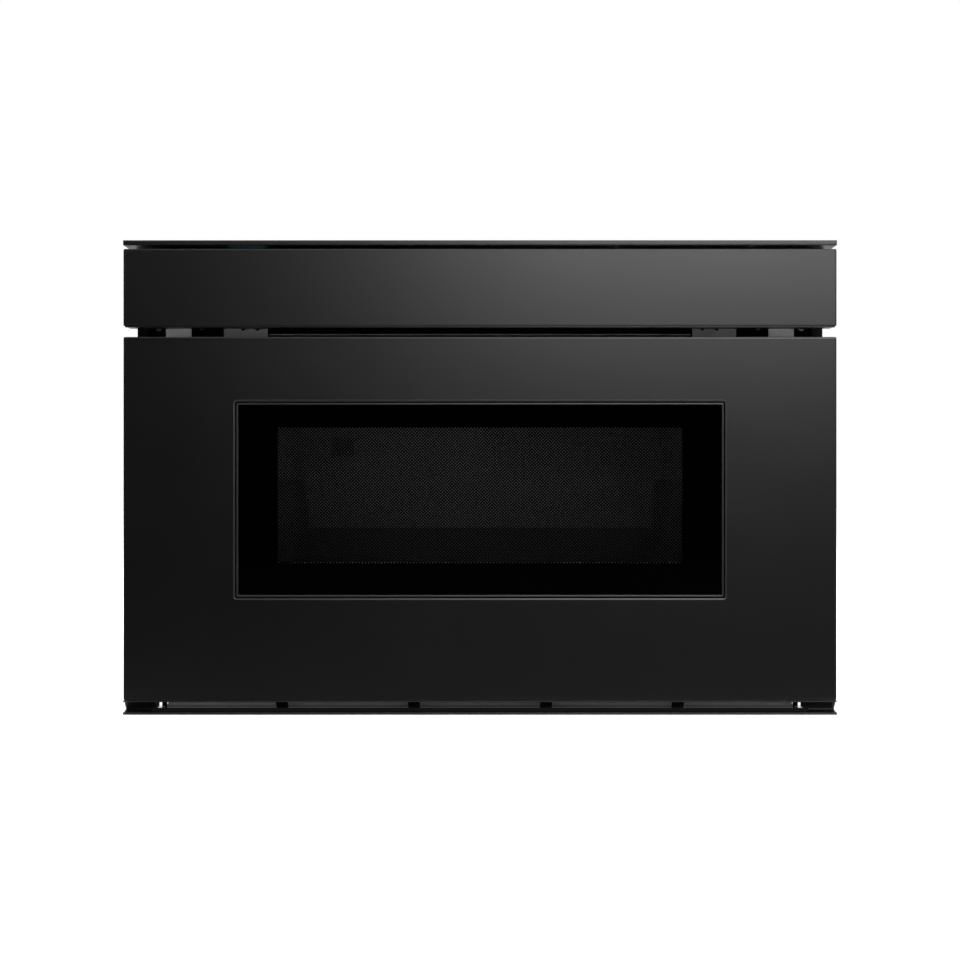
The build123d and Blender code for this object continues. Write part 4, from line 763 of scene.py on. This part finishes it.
def door_edge():
    """The rolled edge along the top of the drawer front: a narrow face that leans back."""
    half = DOOR_HIGH.x - EDGE_INSET
    top = DOOR_HIGH.z - EDGE_DROP
    foot = top - EDGE_HIGH
    section = ((-EDGE_PROUD[0], top), (-EDGE_PROUD[1], foot), (EDGE_ROOT, foot), (EDGE_ROOT, top))
    loops = [[(x, FACE_Y + depth, z) for depth, z in section] for x in (-half, half)]
    outward(piece("door_edge", *lofted(loops), ROLLED_STEEL, "drawer"))


# The tray and the case

SEAL_HALF_WIDTH = 1.1 * MM
SEAL_HIGH = 1.3 * MM
SEAL_SUNK = 0.2 * MM                    # below the shelf's rim
SEAL_STEPS = 6
SHELF_CORNER = 10.0 * MM

LOUVRE_Y = (190.0 * MM, 250.0 * MM)
LOUVRES_Z = range(210, 330, 12)         # low edges of the side slots, in mm
HOOD_Z = (2.0 * MM, 8.5 * MM)           # a hood's low and high edge, over its slot's low edge
HOOD_DEPTH = 3.4 * MM
HOOD_SQUARE = 6                         # how square the ends are: 2 gives an ellipse
HOOD_COLUMNS = 16
HOOD_ROWS = 6


def shelf_seal():
    """The silicone bead round the ceramic shelf."""
    loops = []
    for step in range(SEAL_STEPS + 1):
        angle = math.pi * step / SEAL_STEPS
        out = -SEAL_HALF_WIDTH * math.cos(angle)
        height = SHELF_HIGH.z - SEAL_SUNK + SEAL_HIGH * math.sin(angle)
        outline = rounded_outline(SHELF_HIGH.x + out, SHELF_LOW.y - out, SHELF_HIGH.y + out,
                                  SHELF_CORNER + out)
        loops.append([(x, y, height) for x, y in outline])
    outward(smooth_ring("shelf_seal", loops, SLOTS["duct_plastic"]))


def louvre_hood(sign, z):
    """The points and faces of one pressed hood over a slot in a side."""
    low, high = (z + edge for edge in HOOD_Z)
    front, back = LOUVRE_Y
    points = []
    for row in range(HOOD_ROWS + 1):
        angle = row / HOOD_ROWS * math.pi / 2
        for column in range(HOOD_COLUMNS + 1):
            along = 2 * column / HOOD_COLUMNS - 1
            swell = math.sqrt(1 - along ** HOOD_SQUARE)
            points.append((sign * (CASE_HALF + HOOD_DEPTH * swell * math.sin(angle)),
                           front + (along + 1) / 2 * (back - front),
                           low + (high - low) * math.cos(angle)))
    across = HOOD_COLUMNS + 1
    faces = [(row * across + column, row * across + column + 1,
              (row + 1) * across + column + 1, (row + 1) * across + column)
             for row in range(HOOD_ROWS) for column in range(HOOD_COLUMNS)]
    last = HOOD_ROWS * across
    faces.append(list(range(last, last + across)))
    down = [row * across + HOOD_COLUMNS for row in range(1, HOOD_ROWS + 1)]
    up = [row * across for row in reversed(range(1, HOOD_ROWS + 1))]
    faces.append(list(range(across)) + down + up)
    return points, faces


def louvre_hoods():
    """The hoods over the side slots, one piece for each side."""
    for side, sign in SIDES:
        points, faces = merged(louvre_hood(sign, z * MM) for z in LOUVRES_Z)
        outward(piece(f"louvre_hoods_{side}", points, faces, SLOTS["galvanised"], "chassis"))


# The touch glass's marks, in mm on the glass: x to the right and y to the rear

INK_THICK = 0.04 * MM
STROKE = 0.7
ARC_STEPS = 16
DIGIT_SIZE = 9.0 * MM
DIGITS_X = range(-70, 130, 20)
CLOCK_X = -205.0
CLOCK = (("1", -14.0), ("2", -5.5), ("0", 5.5), ("0", 14.0))                # figure, and its x there
COLON = (1.1, 2.0)                      # width of a dot, and its distance from the middle
SEGMENT = (5.2, 0.9)                    # length and width of a lit stroke
SEGMENT_PLACES = {"a": (0, 2, 0), "b": (1, 1, 90), "c": (1, -1, 90), "d": (0, -2, 0),
                  "e": (-1, -1, 90), "f": (-1, 1, 90), "g": (0, 0, 0)}      # across, up, turn
LIT = {"0": "abcdef", "1": "bc", "2": "abged"}
FACES_UP = 0.7                          # least Z of the normals of the glass's upper face


def bar(x, y, length, width=STROKE, angle=0.0):
    """The outline of a straight stroke about its middle, turned by degrees."""
    turn = math.radians(angle)
    along = (math.cos(turn) * length / 2, math.sin(turn) * length / 2)
    across = (-math.sin(turn) * width / 2, math.cos(turn) * width / 2)
    return [(x + a * along[0] + b * across[0], y + a * along[1] + b * across[1])
            for a, b in ((-1, -1), (1, -1), (1, 1), (-1, 1))]


def arc(radius, start, end, y=0.0):
    """The outline of a curved stroke, from one angle to another in degrees."""
    angles = [math.radians(start + (end - start) * step / ARC_STEPS) for step in range(ARC_STEPS + 1)]
    sides = ((radius + STROKE / 2, angles), (radius - STROKE / 2, angles[::-1]))
    return [(reach * math.cos(a), y + reach * math.sin(a)) for reach, turned in sides for a in turned]


RING = [arc(3.4, 0, 180), arc(3.4, 180, 360)]
ICONS = {                               # each mark's x on the glass, and its outlines about there
    "power_mark": (-150.0, [arc(3.2, 125, 415), bar(0, 2.6, 3.2, angle=90)]),
    "timer_mark": (-130.0, RING + [bar(0, 1.2, 2.4, 0.6, 90), bar(1.0, 0, 1.4, 0.6)]),
    "defrost_mark": (-110.0, [bar(0, 0, 7.4, 0.6, angle) for angle in (0, 60, 120)]),
    "minus_mark": (150.0, [bar(0, 0, 5.6, 0.9)]),
    "plus_mark": (168.0, [bar(0, 0, 5.6, 0.9), bar(0, 1.7, 2.2, 0.9, 90), bar(0, -1.7, 2.2, 0.9, 90)]),
    "lock_mark": (190.0, [bar(0, -1.4, 5.0, 3.8), arc(1.7, 0, 180, 0.7)]),
    "stop_mark": (212.0, RING + [bar(0, 0, 2.8, 2.8)]),
    "start_mark": (232.0, RING + [[(-1.1, -1.7), (1.9, 0.0), (-1.1, 1.7)]]),
    "drawer_mark": (254.0, [bar(x, y, 3.6, angle=turn)
                            for y in (-2.0, 2.0) for x, turn in ((-1.2, 40), (1.2, -40))]),
}


def touch_plane():
    """Places the marks' own coordinates on the touch glass's upper face."""
    glass = NODES["touch_glass"].data
    corners = [glass.vertices[index].co for face in glass.polygons if face.normal.z > FACES_UP
               for index in face.vertices]
    front = min(corners, key=lambda corner: corner.y)
    rear = max(corners, key=lambda corner: corner.y)
    right = Vector((1.0, 0.0, 0.0))
    back = Vector((0.0, rear.y - front.y, rear.z - front.z)).normalized()
    out = right.cross(back)
    place = Vector((0.0, (front.y + rear.y) / 2, (front.z + rear.z) / 2)) + out * INK_THICK / 2
    turned = Matrix((right, back, out)).transposed().to_4x4()
    return Matrix.Translation(place) @ turned


def glass_mark(name, x, outlines, finish, plane):
    """One printed or lit mark on the touch glass: a thin flat solid on each of its outlines."""
    points, faces = merged(
        lofted([[plane @ Vector(((x + across) * MM, along * MM, z)) for across, along in outline]
                for z in (0.0, INK_THICK)])
        for outline in outlines)
    piece(name, points, faces, finish, "control_panel")


def printed_digit(digit, x, plane):
    """One digit on the touch glass, as a text object."""
    name = f"digit_{digit}"
    letter = bpy.data.curves.new(name, "FONT")
    letter.body = str(digit)
    letter.size = DIGIT_SIZE
    letter.align_x = "CENTER"
    letter.align_y = "CENTER"
    letter.extrude = INK_THICK / 2
    made = placed(bpy.data.objects.new(name, letter), PRINT, "control_panel")
    made.matrix_world = plane @ Matrix.Translation((x * MM, 0.0, INK_THICK / 2))


def lit_figure(figure, x):
    """The strokes of one figure of the clock."""
    length, width = SEGMENT
    step = (length + width) / 2
    return [bar(x + across * step, up * step, length, width, turn)
            for across, up, turn in (SEGMENT_PLACES[key] for key in LIT[figure])]


def touch_marks():
    """The digits, symbols and clock on the touch glass."""
    plane = touch_plane()
    for place, x in enumerate(DIGITS_X):
        printed_digit((place + 1) % 10, x, plane)
    for name, (x, outlines) in ICONS.items():
        glass_mark(name, x, outlines, PRINT, plane)
    dot, height = COLON
    lit = [stroke for figure, x in CLOCK for stroke in lit_figure(figure, x)]
    lit += [bar(0, up, dot, dot) for up in (-height, height)]
    glass_mark("clock_figures", CLOCK_X, lit, GLOW, plane)


# Stage

PHOTO_SIZE = 960
MM_PER_PIXEL = 0.8495
CAMERA_DISTANCE = 1.0
CAMERA_HEIGHT = 199.4 * MM
CLIP_START = 0.01
SENSOR = 36.0

WHITE = (1.0, 1.0, 1.0, 1.0)
SEEN_WHITE = 1.0                        # the room's strength to the camera
FILL = 0.85                             # and as light on the object
MIRRORED_IN_FRONT = 0.004               # and in reflections, by where they look
MIRRORED_AROUND = 0.36
MIRROR_RAMP = (-0.05, 0.35)             # the direction's Y, from in front to around

FLOOR_SIZE = 14.0
FLOOR_GREY = 0.93
FLOOR_ROUGHNESS = 0.9
FLOOR_GLOSS = 0.1
FLOOR_GLOW = 0.3
FLOOR_RAMPS = ((0.55, 0.004, 0.115), (0.03, 0.0, 0.5))     # reach, grey there, grey at the front

CAVITY_MIDDLE = (CAVITY_LOW + CAVITY_HIGH) / 2
LIGHTS = (                              # name, place, aim, width, height, watts
    ("key", (0.67, FACE_Y - 1.56, 1.115), (0.15, FACE_Y, 0.3), 1.6, 0.8, 31.4),
    ("above", (0.0, -0.1, 2.4), (0.0, -0.1, 0.0), 2.6, 1.8, 60.0),
    ("left_side", (-2.6, 0.9, 1.5), (0.0, 0.1, 0.2), 1.4, 1.4, 20.0),
    ("right_side", (2.6, 1.1, 1.5), (0.0, 0.1, 0.2), 1.4, 1.4, 20.0),
    ("cavity_light", (0.0, CAVITY_MIDDLE.y - 0.1, CAVITY_HIGH.z - 0.06),
     (0.0, CAVITY_MIDDLE.y + 0.2, CAVITY_LOW.z), 0.42, 0.1, 0.24),
)


def camera():
    """Straight in front, one metre from the drawer front."""
    data = bpy.data.cameras.new("camera")
    data.sensor_width = SENSOR
    data.lens = SENSOR * CAMERA_DISTANCE / (PHOTO_SIZE * MM_PER_PIXEL * MM)
    data.clip_start = CLIP_START
    made = bpy.data.objects.new("camera", data)
    made.location = (0, FACE_Y - CAMERA_DISTANCE, CAMERA_HEIGHT)
    made.rotation_euler = (math.pi / 2, 0, 0)
    bpy.context.scene.collection.objects.link(made)
    bpy.context.scene.camera = made


def world():
    """A white room to the camera. In reflections it is dark in front of the object, paler round it."""
    made = bpy.data.worlds.new("room")
    made.use_nodes = True
    tree = Tree(made.node_tree)
    rooms = [tree.node("Background", Strength=strength, Color=WHITE)
             for strength in (SEEN_WHITE, MIRRORED_AROUND, FILL)]
    direction = tree.parts(tree.node("TexCoord").outputs["Generated"])
    start, end = MIRROR_RAMP
    strength = tree.ranged(direction["Y"], MIRRORED_IN_FRONT, MIRRORED_AROUND, start, end)
    tree.link(strength, rooms[1].inputs["Strength"])
    surface = tree.by_ray(*(room.outputs["Background"] for room in rooms))
    tree.link(surface, made.node_tree.nodes["World Output"].inputs["Surface"])
    bpy.context.scene.world = made


def mirrored_floor(pale):
    """The floor in reflections: darker with its distance from the object's front."""
    y = pale.parts(pale.place)["Y"]
    total = pale.node("Math", operation="ADD")
    for socket, (reach, far, near) in enumerate(FLOOR_RAMPS):
        pale.link(pale.ranged(y, far, near, FACE_Y - reach, FACE_Y), total.inputs[socket])
    dim = pale.node("BsdfDiffuse")
    pale.link(total.outputs["Value"], dim.inputs["Color"])
    return dim.outputs["BSDF"]


def floor():
    """A plain pale floor, which the satin front hardly mirrors."""
    half = FLOOR_SIZE / 2
    mesh = bpy.data.meshes.new("floor")
    mesh.from_pydata([(-half, -half, 0), (half, -half, 0), (half, half, 0), (-half, half, 0)], [],
                     [(0, 1, 2, 3)])
    made = bpy.data.objects.new("floor", mesh)
    bpy.context.scene.collection.objects.link(made)
    pale = Shader("floor", (FLOOR_GREY, FLOOR_GREY, FLOOR_GREY), FLOOR_ROUGHNESS)
    pale.set("Specular IOR Level", FLOOR_GLOSS)
    pale.set("Emission Color", WHITE)
    pale.set("Emission Strength", FLOOR_GLOW)
    plain = pale.bsdf.outputs["BSDF"]
    surface = pale.by_ray(plain, mirrored_floor(pale), plain)
    pale.link(surface, pale.tree.nodes["Material Output"].inputs["Surface"])
    mesh.materials.append(pale.material)


def softbox(name, place, aim, width, height, watts):
    """A soft rectangular light at a place, aimed at a point."""
    data = bpy.data.lights.new(name, "AREA")
    data.shape = "RECTANGLE"
    data.size = width
    data.size_y = height
    data.energy = watts
    made = bpy.data.objects.new(name, data)
    made.location = place
    made.rotation_euler = (Vector(aim) - Vector(place)).to_track_quat("-Z", "Y").to_euler()
    bpy.context.scene.collection.objects.link(made)


def lights():
    """A softbox at the upper right, one above, two behind at the sides, and one in the cavity."""
    for light in LIGHTS:
        softbox(*light)


dress_nodes()
window_frame()
window_mask()
perforated_screen()
screen_strip()
gap_strip()
slot_lip()
rims()
catch_rivets()
door_edge()
shelf_seal()
louvre_hoods()
touch_marks()
camera()
world()
floor()
lights()

view = bpy.context.scene.view_settings
view.view_transform = "Standard"
view.look = "None"
